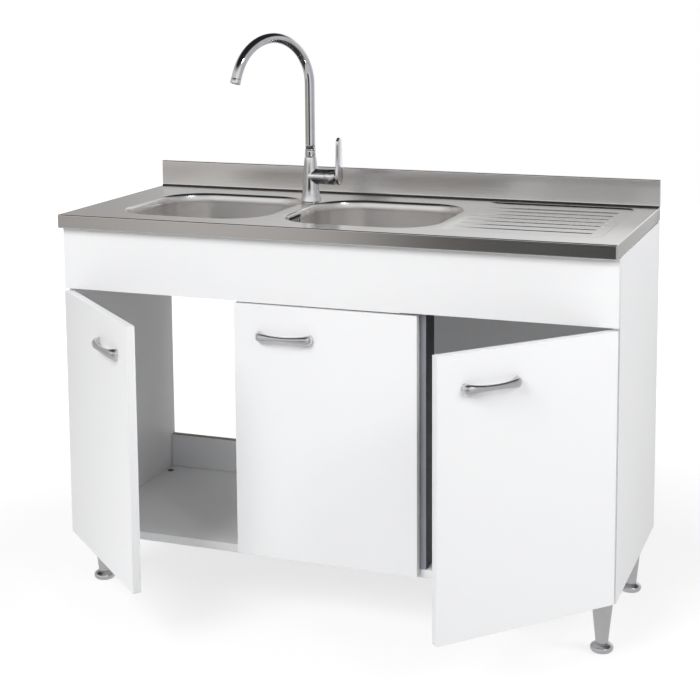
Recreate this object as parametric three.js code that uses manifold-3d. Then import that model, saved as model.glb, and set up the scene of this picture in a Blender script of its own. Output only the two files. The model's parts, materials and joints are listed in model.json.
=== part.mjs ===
// A three-door kitchen sink unit with a pressed steel double-bowl top, a drainer, a splashback,
// a single-lever swan-neck mixer tap, concealed door hinges, bow handles and screw feet.
// Millimetres, +Z up. X runs along the unit, +Y points to the wall.
// The left and right doors stand ajar and the middle door is shut.
import * as THREE from "three";
import { mergeVertices } from "three/addons/utils/BufferGeometryUtils.js";
import Module from "manifold-3d";

const wasm = await Module();
wasm.setup();

// ---- Driving dimensions -----------------------------------------------------------------
// Clearances
const seatGap = 0.3; // between pieces that rest on each other
const overrun = 1; // how far a joined or cutting solid runs past a face
const runningGap = 0.4; // round pieces that turn or slide in each other
const doorGap = 1.5; // between a shut door and the carcass
const doorSpacing = 2; // between neighbouring doors
const apronGap = 4.6; // between the doors and the apron

// Overall
const sinkWidth = 1200;
const sinkDepth = 500;

// Carcass
const carcassMargin = 2; // how much narrower the carcass is than the sink
const carcassWidth = sinkWidth - carcassMargin;
const carcassHeight = 685.3;
const carcassShift = 3; // the carcass stands this far to the right of the sink's centre
const sideThickness = 16;
const boardThickness = 18;
const carcassBackMargin = 17; // from the back of the sides to the sink's back edge
const carcassBack = sinkDepth - carcassBackMargin;
const lowerRailHeight = 80;
const upperRailHeight = 96;
const postWidth = 30;
const postDepth = 54;
const postOverlap = 16.5; // how far the middle door covers the post
const postWall = 2;
const postHeadroom = 16; // from the post's head to the sink's underside edge
const panelStart = 12; // from the carcass's middle to the panel that closes the back's right half

// Doors and handles
const doorSetback = 15; // from the sink's front edge to the door fronts
const doorThickness = 18;
const doorHeight = 540;
const doorSill = 7; // from the carcass's underside to the door's lower edge
const leftDoorAngle = 42.2;
const rightDoorAngle = 48.1;
const handleLength = 126.5;
const handleInset = 50; // from the door's free edge to the handle's end
const handleDrop = 66; // from the door's upper edge to the handle's middle line
const handleReach = 20;
const handleEndHeight = 21.5;
const handleWaistHeight = 11.5;
const handleThickness = 9;
const handleFootLength = 15;
const handleSquareness = 3; // the superellipse's power

// Concealed hinges
const hingeInset = 95; // from the door's upper and lower edges
const cupRadius = 17.5;
const cupEdge = 4.5; // from the door's edge to the cup
const cupDepth = 14.2;
const cupWall = 1.2;
const cupFlange = 1;
const cupFlangeRadius = 18.5;
const cupWingHeight = 52;
const cupWingWidth = 15;
const armLength = 62;
const armHeight = 15;
const armWidth = 11;
const armWall = 1.5;
const plateHeight = 46;
const plateLength = 20;
const plateThickness = 2.5;
const linkThickness = 2.5;
const linkTongue = 56;
const linkPinRadius = 3;
const linkPinSetback = 9; // the shut door's front to the link's pin
const linkPinInset = 20.6; // the door's edge to the link's pin
const linkPinPlay = 1.5; // between the pin's end and the cup's wall
const linkTravel = 21.6; // millimetres for each radian of the door's swing

// Legs and feet
const legHeight = 129;
const leftLegInset = 28;
const rightLegInset = 39;
const frontLegSetback = 101;
const backLegSetback = 424;
const middleLegOffset = 233; // from the carcass's centre
const legTopRadius = 24.3;
const legNeckRadius = 12.6;
const footRadius = 23.2;
const footHeight = 17;
// The foot's outline in shares of its radius and height.
const footBun = [[0.8, 0], [0.94, 0.14], [1, 0.4], [0.94, 0.66], [0.72, 0.88]];
const footStemRadius = 5;
const footStemLength = 30;

// Sink top
const rimHeight = 29;
const rimLip = 22;
const sheet = 1.2;
const splashHeight = 60;
const splashThickness = 11;
const splashReturn = 24;
const bowlLength = 331;
const bowlWidth = 327;
const bowlDepth = 150;
const bowlCorner = 90;
const bowlTaper = 14; // how far each wall leans in from lip to floor
const bowlFloorRound = 30;
const bowlFloorCorner = 20; // the least plan radius at the bowl's floor
const bowlFlange = 4;
const bowlEndMargin = 100; // from the sink's left end to the left bowl
const bowlFrontMargin = 64;
const bowlWeb = 45; // between the bowls
const trayStart = 18; // from the right bowl to the drainer tray
const trayEndMargin = 45;
const trayFrontMargin = 68;
const trayRearMargin = 41;
const trayCorner = 22;
const trayFloorCorner = 4; // the least plan radius at the tray's floor
const trayShallow = 3;
const trayDeep = 6;
const trayWall = 9; // the tray's sloping wall, measured flat
const ribCount = 7;
const ribPitch = 46;
const ribWidth = 22;
const ribRise = 2.4;
const ribEndMargin = 25;
const ribFirst = 129; // from the sink's front edge to the first rib
const slotCount = 5;
const slotPitch = 12;
const slotWidth = 5;
const slotHeight = 17;
const slotDrop = 16; // from the lip to the middle of the overflow slots
const slotShift = 48; // from the bowl's middle line to the slots, toward the front

// Wastes and strainers
const wasteHole = 44;
const wasteFlange = 56;
const wasteCupDepth = 26;
const wasteWall = 2;
const tailRadius = 20;
const tailLength = 18;
const wasteNutWidth = 9;
const wasteNutHeight = 10;
const basketRadius = 38;
const basketDepth = 18;
const basketRound = 4; // the bevel between the basket's wall and floor
const basketRim = 7;
const knobRadius = 7;
const knobHeight = 16;

// Mixer tap
const tapInset = 65; // from the tap's axis back to the line of the bowls' back edges
const tapHole = 13.5;
const tapBaseRadius = 23;
const tapTaper = [[1, 0.1], [0.88, 0.24], [0.74, 0.5], [0.63, 0.84]]; // shares of radius and height
const tapShoulderRadius = 13;
const tapBodyHeight = 105;
const tapAxisHeight = 60; // from the deck to the cartridge's centre line
const shankRadius = 12;
const shankLength = 45;
const tapNutRadius = 19;
const tapNutHeight = 9;
const branchRadius = 17;
const branchLength = 40;
const bonnetRadius = 17.6;
const bonnetLength = 20;
const bonnetBevel = 2;
const hubRadius = 11;
const hubLength = 3.4; // the hub's part between the bonnet and the lever
const hubDepth = 6; // the hub's part inside the tap's branch
const leverThickness = 7;
const leverFootWidth = 32;
const leverTipWidth = 23;
const leverRise = 88; // from the cartridge's centre line to the lever's tip
const leverBossRadius = 17.5;
const spoutRadius = 11;
const spoutArch = 106;
const spoutRise = 143; // from the collar to the arch's centre
const spoutTail = 12.5;
const spoutDip = 19; // degrees short of straight down
const spoutTurn = 25.5; // degrees that the spout is swung to the left
const spigotRadius = 9;
const spigotLength = 24;
const collarRadius = 11.8;
const collarHeight = 15.5;
const collarFlare = 0.4; // how much wider the collar's foot is than its head
const aeratorRadius = 11.6;
const aeratorLength = 10;
const aeratorLip = 2;

// Mesh fineness
const roundSides = 24;
const smallSides = 16;
const legSides = 18;
const nutSides = 6;
const cornerSteps = 5;
const tubeSteps = 26;
const handleSteps = 12;
const handleSides = 12;

// ---- Places worked out from the dimensions ----------------------------------------------
const carcassTop = legHeight + carcassHeight;
const rimBottom = carcassTop + seatGap;
const sinkTop = rimBottom + rimHeight;
const carcassLeft = carcassShift - carcassWidth / 2;
const carcassRight = carcassShift + carcassWidth / 2;
const carcassFront = doorSetback + doorThickness + doorGap;
const innerLeft = carcassLeft + sideThickness;
const innerRight = carcassRight - sideThickness;
const panelTop = legHeight + boardThickness;
const doorWidth = (carcassWidth - 2 * doorSpacing) / 3;
const doorBottom = legHeight + doorSill;
const doorTop = doorBottom + doorHeight;
const apronBottom = doorTop + apronGap;
const middleHingeX = carcassLeft + 2 * doorWidth + doorSpacing;
const postLeft = middleHingeX - postOverlap;
const postTop = carcassTop - postHeadroom;
const deckUnder = sinkTop - sheet;
const bowlY = bowlFrontMargin + bowlWidth / 2;
const leftBowlX = -sinkWidth / 2 + bowlEndMargin + bowlLength / 2;
const rightBowlX = leftBowlX + bowlLength + bowlWeb;
const bowlFloor = sinkTop - bowlDepth;
const tapX = (leftBowlX + rightBowlX) / 2;
const tapSetback = bowlY + bowlWidth / 2 - tapInset;
const bonnetEnd = branchLength + seatGap + bonnetLength;
const trayLeft = rightBowlX + bowlLength / 2 + trayStart;
const trayRight = sinkWidth / 2 - trayEndMargin;
const trayFront = trayFrontMargin;
const trayBack = sinkDepth - trayRearMargin;
const hingeHeights = { upper: doorHeight - hingeInset, lower: hingeInset };

// ---- Finishes ---------------------------------------------------------------------------
const finish = (color, roughness, metalness) =>
  new THREE.MeshStandardMaterial({ color, roughness, metalness });
const whiteBoard = finish(0xecedef, 0.45, 0);
const darkSteel = finish(0x2f3238, 0.4, 0.6);
const brushedSteel = finish(0xa7a29d, 0.34, 1);
const polishedChrome = finish(0xd6d8da, 0.08, 1);
const satinNickel = finish(0x9a9a9c, 0.32, 1);
const platedSteel = finish(0xb4b6b8, 0.35, 1);
const wastePlastic = finish(0xe4e4e1, 0.5, 0);

// ---- Solids -----------------------------------------------------------------------------
function solidOf(geometry) {
  const plain = geometry.clone();
  plain.deleteAttribute("normal");
  plain.deleteAttribute("uv");
  const merged = mergeVertices(plain, 1e-4);
  return new wasm.Manifold(
    new wasm.Mesh({
      numProp: 3,
      vertProperties: merged.attributes.position.array,
      triVerts: new Uint32Array(merged.index.array),
    }),
  );
}

function geometryOf(solid) {
  const made = solid.getMesh();
  const geometry = new THREE.BufferGeometry();
  geometry.setAttribute("position", new THREE.BufferAttribute(made.vertProperties, 3));
  geometry.setIndex(new THREE.BufferAttribute(made.triVerts, 1));
  geometry.computeVertexNormals();
  return geometry;
}

const join = (...geometries) =>
  geometryOf(geometries.map(solidOf).reduce((sum, next) => sum.add(next)));

const cut = (base, ...tools) =>
  geometryOf(tools.map(solidOf).reduce((rest, next) => rest.subtract(next), solidOf(base)));

function block(x, y, z) {
  const size = [x, y, z].map(([low, high]) => high - low);
  const middle = [x, y, z].map(([low, high]) => (low + high) / 2);
  return new THREE.BoxGeometry(...size).translate(...middle);
}

// A solid turned about the Z axis from [radius, height] points that run upwards on the outside.
function turned(points, sides = roundSides) {
  const profile = points.map(([radius, height]) => new THREE.Vector2(radius, height));
  return new THREE.LatheGeometry(profile, sides).rotateX(Math.PI / 2);
}

const rod = (radius, low, high, sides = roundSides) =>
  turned([[0, low], [radius, low], [radius, high], [0, high]], sides);

const alongX = (geometry) => geometry.rotateY(Math.PI / 2);

function prism(outline, thickness, holes = []) {
  outline.holes.push(...holes);
  const options = { depth: thickness, bevelEnabled: false, curveSegments: cornerSteps };
  return new THREE.ExtrudeGeometry(outline, options);
}

function roundedOutline(x0, x1, y0, y1, radius, Kind = THREE.Shape) {
  const quarter = Math.PI / 2;
  const outline = new Kind();
  outline.moveTo(x0 + radius, y0);
  outline.lineTo(x1 - radius, y0);
  outline.absarc(x1 - radius, y0 + radius, radius, -quarter, 0);
  outline.lineTo(x1, y1 - radius);
  outline.absarc(x1 - radius, y1 - radius, radius, 0, quarter);
  outline.lineTo(x0 + radius, y1);
  outline.absarc(x0 + radius, y1 - radius, radius, quarter, 2 * quarter);
  outline.lineTo(x0, y0 + radius);
  outline.absarc(x0 + radius, y0 + radius, radius, 2 * quarter, 3 * quarter);
  return outline;
}

function boxOutline(x0, x1, y0, y1, Kind = THREE.Shape) {
  return new Kind([
    new THREE.Vector2(x0, y0),
    new THREE.Vector2(x1, y0),
    new THREE.Vector2(x1, y1),
    new THREE.Vector2(x0, y1),
  ]);
}

// A closed loop of points round a rounded rectangle, each corner with the same number of steps.
function ring(halfX, halfY, radius, height) {
  const points = [];
  for (let corner = 0; corner < 4; corner++) {
    const signX = corner === 0 || corner === 3 ? 1 : -1;
    const signY = corner < 2 ? 1 : -1;
    for (let step = 0; step <= cornerSteps; step++) {
      const angle = (corner + step / cornerSteps) * (Math.PI / 2);
      const x = signX * (halfX - radius) + radius * Math.cos(angle);
      const y = signY * (halfY - radius) + radius * Math.sin(angle);
      points.push([x, y, height]);
    }
  }
  return points;
}

// A round loop with as many points as ring() gives.
function roundRing(radius, height) {
  const count = 4 * (cornerSteps + 1);
  return Array.from({ length: count }, (_, index) => {
    const angle = (index / count) * 2 * Math.PI;
    return [radius * Math.cos(angle), radius * Math.sin(angle), height];
  });
}

const meanOf = (points, axis) =>
  points.reduce((sum, point) => sum + point[axis], 0) / points.length;

// Joins loops one after another into a skin. It is closed by fans at its two ends, or, when it
// is a hoop, by joining the last loop to the first.
function loft(loops, isHoop) {
  const count = loops[0].length;
  const positions = loops.flat(2);
  const index = [];
  const pairs = isHoop ? loops.length : loops.length - 1;
  for (let row = 0; row < pairs; row++) {
    const next = (row + 1) % loops.length;
    for (let step = 0; step < count; step++) {
      const turn = (step + 1) % count;
      const [a, b] = [row * count + step, row * count + turn];
      const [c, d] = [next * count + step, next * count + turn];
      index.push(a, b, d, a, d, c);
    }
  }
  if (!isHoop) {
    for (const row of [0, loops.length - 1]) {
      const middle = positions.length / 3;
      positions.push(...[0, 1, 2].map((axis) => meanOf(loops[row], axis)));
      for (let step = 0; step < count; step++) {
        const edge = [row * count + step, row * count + ((step + 1) % count)];
        index.push(...(row ? edge : edge.reverse()), middle);
      }
    }
  }
  const geometry = new THREE.BufferGeometry();
  geometry.setAttribute("position", new THREE.Float32BufferAttribute(positions, 3));
  geometry.setIndex(index);
  return geometry;
}

function named(name, geometry, material) {
  const mesh = new THREE.Mesh(geometry, material);
  mesh.name = name;
  return mesh;
}

const degrees = THREE.MathUtils.degToRad;
const unit = new THREE.Group();

// ---- Carcass ----------------------------------------------------------------------------
function addCarcass() {
  const depth = [carcassFront, carcassBack];
  const upright = [legHeight, carcassTop];
  const left = block([carcassLeft, innerLeft], depth, upright);
  const right = block([innerRight, carcassRight], depth, upright);
  const between = [innerLeft + seatGap, innerRight - seatGap];
  const bottom = block(between, depth, [legHeight, panelTop]);
  const railDepth = [carcassBack - boardThickness, carcassBack];
  const lowerRise = [panelTop + seatGap, panelTop + lowerRailHeight];
  const upperRise = [carcassTop - upperRailHeight, carcassTop];
  const panelAcross = [carcassShift + panelStart, between[1]];
  const panelRise = [lowerRise[1] + seatGap, upperRise[0] - seatGap];
  const apronDepth = [doorSetback + doorGap - seatGap, carcassFront - seatGap];
  const apron = block([carcassLeft, carcassRight], apronDepth, [apronBottom, carcassTop]);
  unit.add(
    named("side_panel_left", left, whiteBoard),
    named("side_panel_right", right, whiteBoard),
    named("bottom_panel", bottom, whiteBoard),
    named("front_apron", apron, whiteBoard),
    named("lower_back_rail", block(between, railDepth, lowerRise), whiteBoard),
    named("upper_back_rail", block(between, railDepth, upperRise), whiteBoard),
    named("back_panel", block(panelAcross, railDepth, panelRise), whiteBoard),
  );
}

// The steel post is a channel, open towards the wall, that carries the middle door.
function addPost() {
  const across = [postLeft, postLeft + postWidth];
  const along = [carcassFront, carcassFront + postDepth];
  const upright = [panelTop + seatGap, postTop];
  const inner = across.map((x, end) => x + (end ? -postWall : postWall));
  const [deep, high] = [along, upright].map((span) => span.map((edge) => edge + postWall));
  const hollow = block(inner, deep, high);
  unit.add(named("hinge_post", cut(block(across, along, upright), hollow), darkSteel));
}

// ---- Legs and screw feet ----------------------------------------------------------------
function legGeometry() {
  const shoulder = footHeight + seatGap;
  const body = turned([
    [0, shoulder],
    [legNeckRadius, shoulder],
    [legTopRadius, legHeight - seatGap],
    [0, legHeight - seatGap],
  ], legSides);
  const socket = rod(footStemRadius + runningGap, 0, shoulder + footStemLength + seatGap, legSides);
  return cut(body, socket);
}

function footGeometry() {
  return turned([
    [0, 0],
    ...footBun.map(([radius, height]) => [footRadius * radius, footHeight * height]),
    [legNeckRadius, footHeight],
    [footStemRadius, footHeight],
    [footStemRadius, footHeight + footStemLength],
    [0, footHeight + footStemLength],
  ], legSides);
}

function addLegs() {
  const rows = { front: frontLegSetback, back: backLegSetback };
  const columns = {
    left: carcassLeft + leftLegInset,
    middle: carcassShift + middleLegOffset,
    right: carcassRight - rightLegInset,
  };
  for (const [row, y] of Object.entries(rows)) {
    for (const [column, x] of Object.entries(columns)) {
      const leg = named(`leg_${row}_${column}`, legGeometry(), satinNickel);
      const foot = named(`foot_${row}_${column}`, footGeometry(), satinNickel);
      leg.position.set(x, y, 0);
      foot.position.set(x, y, 0);
      unit.add(leg, foot);
    }
  }
}

// ---- Doors, in a frame with the door's outer front hinge corner at the origin -------------
// The door runs along +X when `side` is 1 and along -X when it is -1, and is +Y thick.
function doorGeometry(side) {
  const [near, far] = side > 0 ? [0, doorWidth] : [-doorWidth, 0];
  const board = block([near, far], [0, doorThickness], [0, doorHeight]);
  const wells = Object.values(hingeHeights).map((height) => {
    const depth = cupDepth + seatGap;
    const well = rod(cupRadius + seatGap, 0, depth).rotateX(-Math.PI / 2);
    return well.translate(side * (cupEdge + cupRadius), doorThickness - depth, height);
  });
  return cut(board, ...wells);
}

// A bow handle: its centre line leaves the door, turns along it and comes back on the curve of a
// superellipse. Its height swells from the waist to the feet on the door.
function handleGeometry() {
  const half = (handleLength - handleFootLength) / 2;
  const reach = handleReach - handleThickness / 2;
  const bow = (value) => Math.sign(value) * Math.pow(Math.abs(value), 2 / handleSquareness);
  const lineAt = (angle) => {
    return new THREE.Vector2(half * bow(Math.cos(angle)), reach * bow(Math.sin(angle)));
  };
  const loops = Array.from({ length: handleSteps + 1 }, (_, step) => {
    const angle = (step / handleSteps) * Math.PI;
    const middle = lineAt(angle);
    const isFoot = step === 0 || step === handleSteps;
    const ahead = lineAt(angle + 0.01).sub(lineAt(angle - 0.01)).normalize();
    const normal = isFoot ? [Math.sign(middle.x), 0] : [ahead.y, -ahead.x];
    const share = Math.pow(Math.abs(middle.x) / half, 2);
    const thick = THREE.MathUtils.lerp(handleThickness, handleFootLength, share * share) / 2;
    const high = THREE.MathUtils.lerp(handleWaistHeight, handleEndHeight, share) / 2;
    return Array.from({ length: handleSides }, (_, corner) => {
      const round = (corner / handleSides) * 2 * Math.PI;
      const [x, y] = [middle.x, middle.y].map((v, axis) => v + normal[axis] * thick * Math.cos(round));
      return [x, -y, high * Math.sin(round)];
    });
  });
  return loft(loops, false);
}

function cupGeometry() {
  const shell = turned([
    [0, -cupDepth],
    [cupRadius, -cupDepth],
    [cupRadius, 0],
    [cupFlangeRadius, seatGap],
    [cupFlangeRadius, seatGap + cupFlange],
    [cupRadius - cupWall, seatGap + cupFlange],
    [cupRadius - cupWall, cupWall - cupDepth],
    [0, cupWall - cupDepth],
  ]);
  const wing = (sign) => {
    const near = sign * (cupRadius - cupWall / 2);
    const far = sign * (cupWingHeight / 2);
    const span = [Math.min(near, far), Math.max(near, far)];
    return block([-cupWingWidth / 2, cupWingWidth / 2], span, [seatGap, seatGap + cupFlange]);
  };
  return join(shell, wing(1), wing(-1)).rotateX(-Math.PI / 2);
}

function addDoor(name, hingeX, side, angle) {
  const frame = new THREE.Group();
  frame.position.set(hingeX, doorSetback, doorBottom);
  frame.rotation.z = degrees(-side * angle);
  frame.add(named(`door_${name}`, doorGeometry(side), whiteBoard));
  const handle = named(`handle_${name}`, handleGeometry(), satinNickel);
  const handleMiddle = doorWidth - handleInset - handleLength / 2;
  handle.position.set(side * handleMiddle, -seatGap, doorHeight - handleDrop);
  frame.add(handle);
  for (const [level, height] of Object.entries(hingeHeights)) {
    const cup = named(`hinge_cup_${name}_${level}`, cupGeometry(), platedSteel);
    cup.position.set(side * (cupEdge + cupRadius), doorThickness, height);
    frame.add(cup);
  }
  unit.add(frame);
  addHingeArms(name, hingeX, side, angle);
}

// Each hinge has an arm screwed to the carcass, and a link that comes out of it as the door opens.
function addHingeArms(name, hingeX, side, angle) {
  const wallX = name === "middle" ? postOverlap : sideThickness;
  const slide = linkTravel * degrees(angle);
  for (const [level, height] of Object.entries(hingeHeights)) {
    const frame = new THREE.Group();
    frame.position.set(hingeX, doorSetback, doorBottom + height);
    if (side < 0) frame.rotation.y = Math.PI;
    const arm = named(`hinge_arm_${name}_${level}`, armGeometry(wallX), platedSteel);
    const link = named(`hinge_link_${name}_${level}`, linkGeometry(), platedSteel);
    link.position.y = -slide;
    frame.add(arm, link);
    unit.add(frame);
  }
}

function armGeometry(wallX) {
  const front = carcassFront - doorSetback + seatGap;
  const across = [wallX + seatGap, linkPinInset + linkThickness + armWidth / 2];
  const along = [front, front + armLength];
  const channel = block(across, along, [-armHeight / 2, armHeight / 2]);
  const slotX = [linkPinInset - runningGap, linkPinInset + linkThickness + runningGap];
  const slotZ = [-armHeight / 2 + armWall, armHeight / 2 - armWall];
  const slot = block(slotX, [front - armWall, front + armLength + armWall], slotZ);
  const plateAlong = [along[1] - plateLength - armWall, along[1] - armWall];
  const plateX = [wallX + seatGap, wallX + seatGap + plateThickness];
  const plate = block(plateX, plateAlong, [-plateHeight / 2, plateHeight / 2]);
  return join(cut(channel, slot), plate);
}

function linkGeometry() {
  const blade = [linkPinInset, linkPinInset + linkThickness];
  const halfHeight = armHeight / 2 - armWall - runningGap;
  const tongue = block(blade, [linkPinSetback, linkPinSetback + linkTongue], [-halfHeight, halfHeight]);
  const halfPin = cupRadius - cupWall - linkPinPlay;
  const pin = rod(linkPinRadius, -halfPin, halfPin, smallSides).translate(linkPinInset, linkPinSetback, 0);
  return join(tongue, pin);
}

// ---- Sink top ---------------------------------------------------------------------------
function bowlOpening(x) {
  const [halfX, halfY] = [bowlLength / 2, bowlWidth / 2];
  return roundedOutline(x - halfX, x + halfX, bowlY - halfY, bowlY + halfY, bowlCorner, THREE.Path);
}

function tapOpening() {
  return new THREE.Path().absarc(tapX, tapSetback, tapHole, 0, 2 * Math.PI);
}

function trayLoop(inset, extraDepth, isFloor) {
  const [middleX, middleY] = [(trayLeft + trayRight) / 2, (trayFront + trayBack) / 2];
  const [halfX, halfY] = [(trayRight - trayLeft) / 2 - inset, (trayBack - trayFront) / 2 - inset];
  const corner = Math.max(trayCorner - inset, trayFloorCorner);
  return ring(halfX, halfY, corner, 0).map(([x, y]) => {
    const depth = isFloor ? trayDepthAt(middleX + x) : 0;
    return [middleX + x, middleY + y, sinkTop - depth - extraDepth];
  });
}

function trayDepthAt(x) {
  const share = (x - trayLeft) / (trayRight - trayLeft);
  return trayDeep + (trayShallow - trayDeep) * share;
}

// The pressed drainer tray: it slopes down to the right bowl.
function trayGeometry() {
  return loft([
    trayLoop(trayWall, sheet, true),
    trayLoop(-sheet, sheet, false),
    trayLoop(-sheet, 0, false),
    trayLoop(0, 0, false),
    trayLoop(trayWall, 0, true),
  ], false);
}

// A long low rib on the tray's floor, with sloping sides and ends.
function ribGeometry(index) {
  const y = ribFirst + index * ribPitch;
  const [start, end] = [trayLeft + trayWall + ribEndMargin, trayRight - trayWall - ribEndMargin];
  const loop = (inset, rise) =>
    [[end, 1], [start, 1], [start, -1], [end, -1]].map(([x, sideways]) => {
      const endInset = x === end ? -inset : inset;
      return [x + endInset, y + sideways * (ribWidth / 2 - inset), sinkTop - trayDepthAt(x) + rise];
    });
  return loft([loop(0, -sheet / 2), loop(0, 0), loop(ribWidth / 3, ribRise)], false);
}

function splashGeometry() {
  const back = sinkDepth;
  const front = sinkDepth - splashThickness;
  const top = sinkTop + splashHeight;
  const wall = block([-sinkWidth / 2, sinkWidth / 2], [front, front + sheet], [deckUnder, top]);
  const head = block([-sinkWidth / 2, sinkWidth / 2], [front, back], [top - sheet, top]);
  const returned = block([-sinkWidth / 2, sinkWidth / 2], [back - sheet, back], [top - splashReturn, top]);
  const ends = [-1, 1].map((sign) => {
    const outer = (sign * sinkWidth) / 2;
    const span = [Math.min(outer, outer - sign * sheet), Math.max(outer, outer - sign * sheet)];
    return block(span, [front, back], [deckUnder, top]);
  });
  return [wall, head, returned, ...ends];
}

function sinkTopGeometry() {
  const [halfWidth, depth] = [sinkWidth / 2, sinkDepth];
  const holes = [
    bowlOpening(leftBowlX),
    bowlOpening(rightBowlX),
    tapOpening(),
    roundedOutline(trayLeft, trayRight, trayFront, trayBack, trayCorner, THREE.Path),
  ];
  const deck = prism(boxOutline(-halfWidth, halfWidth, 0, depth), sheet, holes).translate(0, 0, deckUnder);
  const frameAt = (inset, low, high) => {
    const hole = boxOutline(-halfWidth + inset, halfWidth - inset, inset, depth - inset, THREE.Path);
    return prism(boxOutline(-halfWidth, halfWidth, 0, depth), high - low, [hole]).translate(0, 0, low);
  };
  const skirt = frameAt(sheet, rimBottom, sinkTop);
  const lip = frameAt(rimLip, rimBottom, rimBottom + sheet);
  const ribs = Array.from({ length: ribCount }, (_, index) => ribGeometry(index));
  return join(deck, skirt, lip, trayGeometry(), ...ribs, ...splashGeometry());
}

// ---- Bowls ------------------------------------------------------------------------------
// The loops of one skin of a bowl, from its lip down to the waste hole. `out` is how far the
// skin stands outside the inner face.
function bowlSkin(out) {
  const [halfX, halfY] = [bowlLength / 2 + out, bowlWidth / 2 + out];
  const corner = bowlCorner + out;
  const lip = deckUnder - seatGap;
  const floor = bowlFloor - out;
  const wallFoot = floor + bowlFloorRound;
  const leanAt = (height) => (bowlTaper * (lip - height)) / (lip - floor);
  const loops = [ring(halfX, halfY, corner, out ? lip - sheet : lip)];
  const lean = leanAt(wallFoot);
  loops.push(ring(halfX - lean, halfY - lean, corner - lean, wallFoot));
  for (const turn of [30, 60, 90]) {
    const inward = lean + bowlFloorRound * (1 - Math.cos(degrees(turn)));
    const height = wallFoot - bowlFloorRound * Math.sin(degrees(turn));
    const inner = Math.max(corner - inward, bowlFloorCorner);
    loops.push(ring(halfX - inward, halfY - inward, inner, height));
  }
  loops.push(roundRing(wasteHole + seatGap, floor));
  return loops;
}

function bowlGeometry(hasOverflow) {
  const lip = deckUnder - seatGap;
  const [halfX, halfY] = [bowlLength / 2, bowlWidth / 2];
  const flange = [sheet, 0].map((drop) =>
    ring(halfX + bowlFlange, halfY + bowlFlange, bowlCorner + bowlFlange, lip - drop),
  );
  const loops = [...bowlSkin(sheet).reverse(), ...flange, ...bowlSkin(0)];
  const shell = loft(loops, true);
  return hasOverflow ? cut(shell, ...overflowSlots()) : shell;
}

function overflowSlots() {
  const wallX = -bowlLength / 2;
  const height = sinkTop - slotDrop;
  return Array.from({ length: slotCount }, (_, index) => {
    const y = (index - (slotCount - 1) / 2) * slotPitch - slotShift;
    const across = [wallX - bowlTaper, wallX + bowlTaper];
    const along = [y - slotWidth / 2, y + slotWidth / 2];
    return block(across, along, [height - slotHeight / 2, height + slotHeight / 2]);
  });
}

// ---- Wastes, nuts and strainer baskets --------------------------------------------------
function wasteGeometry() {
  const seat = bowlFloor + seatGap;
  const cupFloor = seat - wasteCupDepth;
  const neck = tailRadius - wasteWall;
  return turned([
    [neck, cupFloor - tailLength],
    [tailRadius, cupFloor - tailLength],
    [tailRadius, cupFloor - wasteWall],
    [wasteHole - wasteWall, cupFloor - wasteWall],
    [wasteHole, cupFloor],
    [wasteHole, seat],
    [wasteFlange, seat],
    [wasteFlange - wasteWall, seat + wasteWall],
    [wasteHole - wasteWall, seat + wasteWall],
    [wasteHole - wasteWall, cupFloor + wasteWall],
    [neck, cupFloor],
    [neck, cupFloor - tailLength],
  ]);
}

function wasteNutGeometry() {
  const top = bowlFloor - sheet - seatGap;
  const inner = wasteHole + runningGap;
  return turned([
    [inner, top - wasteNutHeight],
    [inner + wasteNutWidth, top - wasteNutHeight],
    [inner + wasteNutWidth, top],
    [inner, top],
    [inner, top - wasteNutHeight],
  ]);
}

function basketGeometry() {
  const rimTop = bowlFloor + 2 * seatGap + wasteWall + sheet;
  const floor = rimTop - basketDepth;
  const seatRadius = basketRadius + basketRim;
  return turned([
    [0, floor],
    [basketRadius - basketRound, floor],
    [basketRadius, floor + basketRound],
    [basketRadius, rimTop - sheet],
    [seatRadius, rimTop - sheet],
    [seatRadius, rimTop],
    [basketRadius - sheet, rimTop],
    [basketRadius - sheet, floor + basketRound],
    [basketRadius - basketRound - sheet, floor + sheet],
    [knobRadius / 2, floor + sheet],
    [knobRadius / 2, floor + knobHeight - knobRadius],
    [knobRadius, floor + knobHeight - knobRadius / 2],
    [knobRadius, floor + knobHeight],
    [0, floor + knobHeight + sheet],
  ]);
}

function addSink() {
  unit.add(named("sink_top", sinkTopGeometry(), brushedSteel));
  for (const [name, x] of [["left", leftBowlX], ["right", rightBowlX]]) {
    const parts = [
      named(`bowl_${name}`, bowlGeometry(name === "right"), brushedSteel),
      named(`waste_${name}`, wasteGeometry(), brushedSteel),
      named(`waste_nut_${name}`, wasteNutGeometry(), wastePlastic),
      named(`strainer_basket_${name}`, basketGeometry(), brushedSteel),
    ];
    for (const part of parts) {
      part.position.set(x, bowlY, 0);
      unit.add(part);
    }
  }
}

// ---- Mixer tap, in a frame on the deck under the tap's axis -------------------------------
function tapBodyGeometry() {
  const column = turned([
    [0, 0],
    [tapBaseRadius, 0],
    ...tapTaper.map(([radius, height]) => [tapBaseRadius * radius, tapBodyHeight * height]),
    [tapShoulderRadius, tapBodyHeight],
    [0, tapBodyHeight],
  ]);
  const branch = alongX(rod(branchRadius, 0, branchLength)).translate(0, 0, tapAxisHeight);
  const shank = rod(shankRadius, -shankLength, overrun);
  const boreFloor = tapBodyHeight - spigotLength - seatGap;
  const bore = rod(spigotRadius + runningGap, boreFloor, tapBodyHeight + overrun);
  const pocketFloor = branchLength - hubDepth - seatGap;
  const pocket = alongX(rod(hubRadius + runningGap, pocketFloor, branchLength + overrun));
  return cut(join(column, branch, shank), bore, pocket.translate(0, 0, tapAxisHeight));
}

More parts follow.
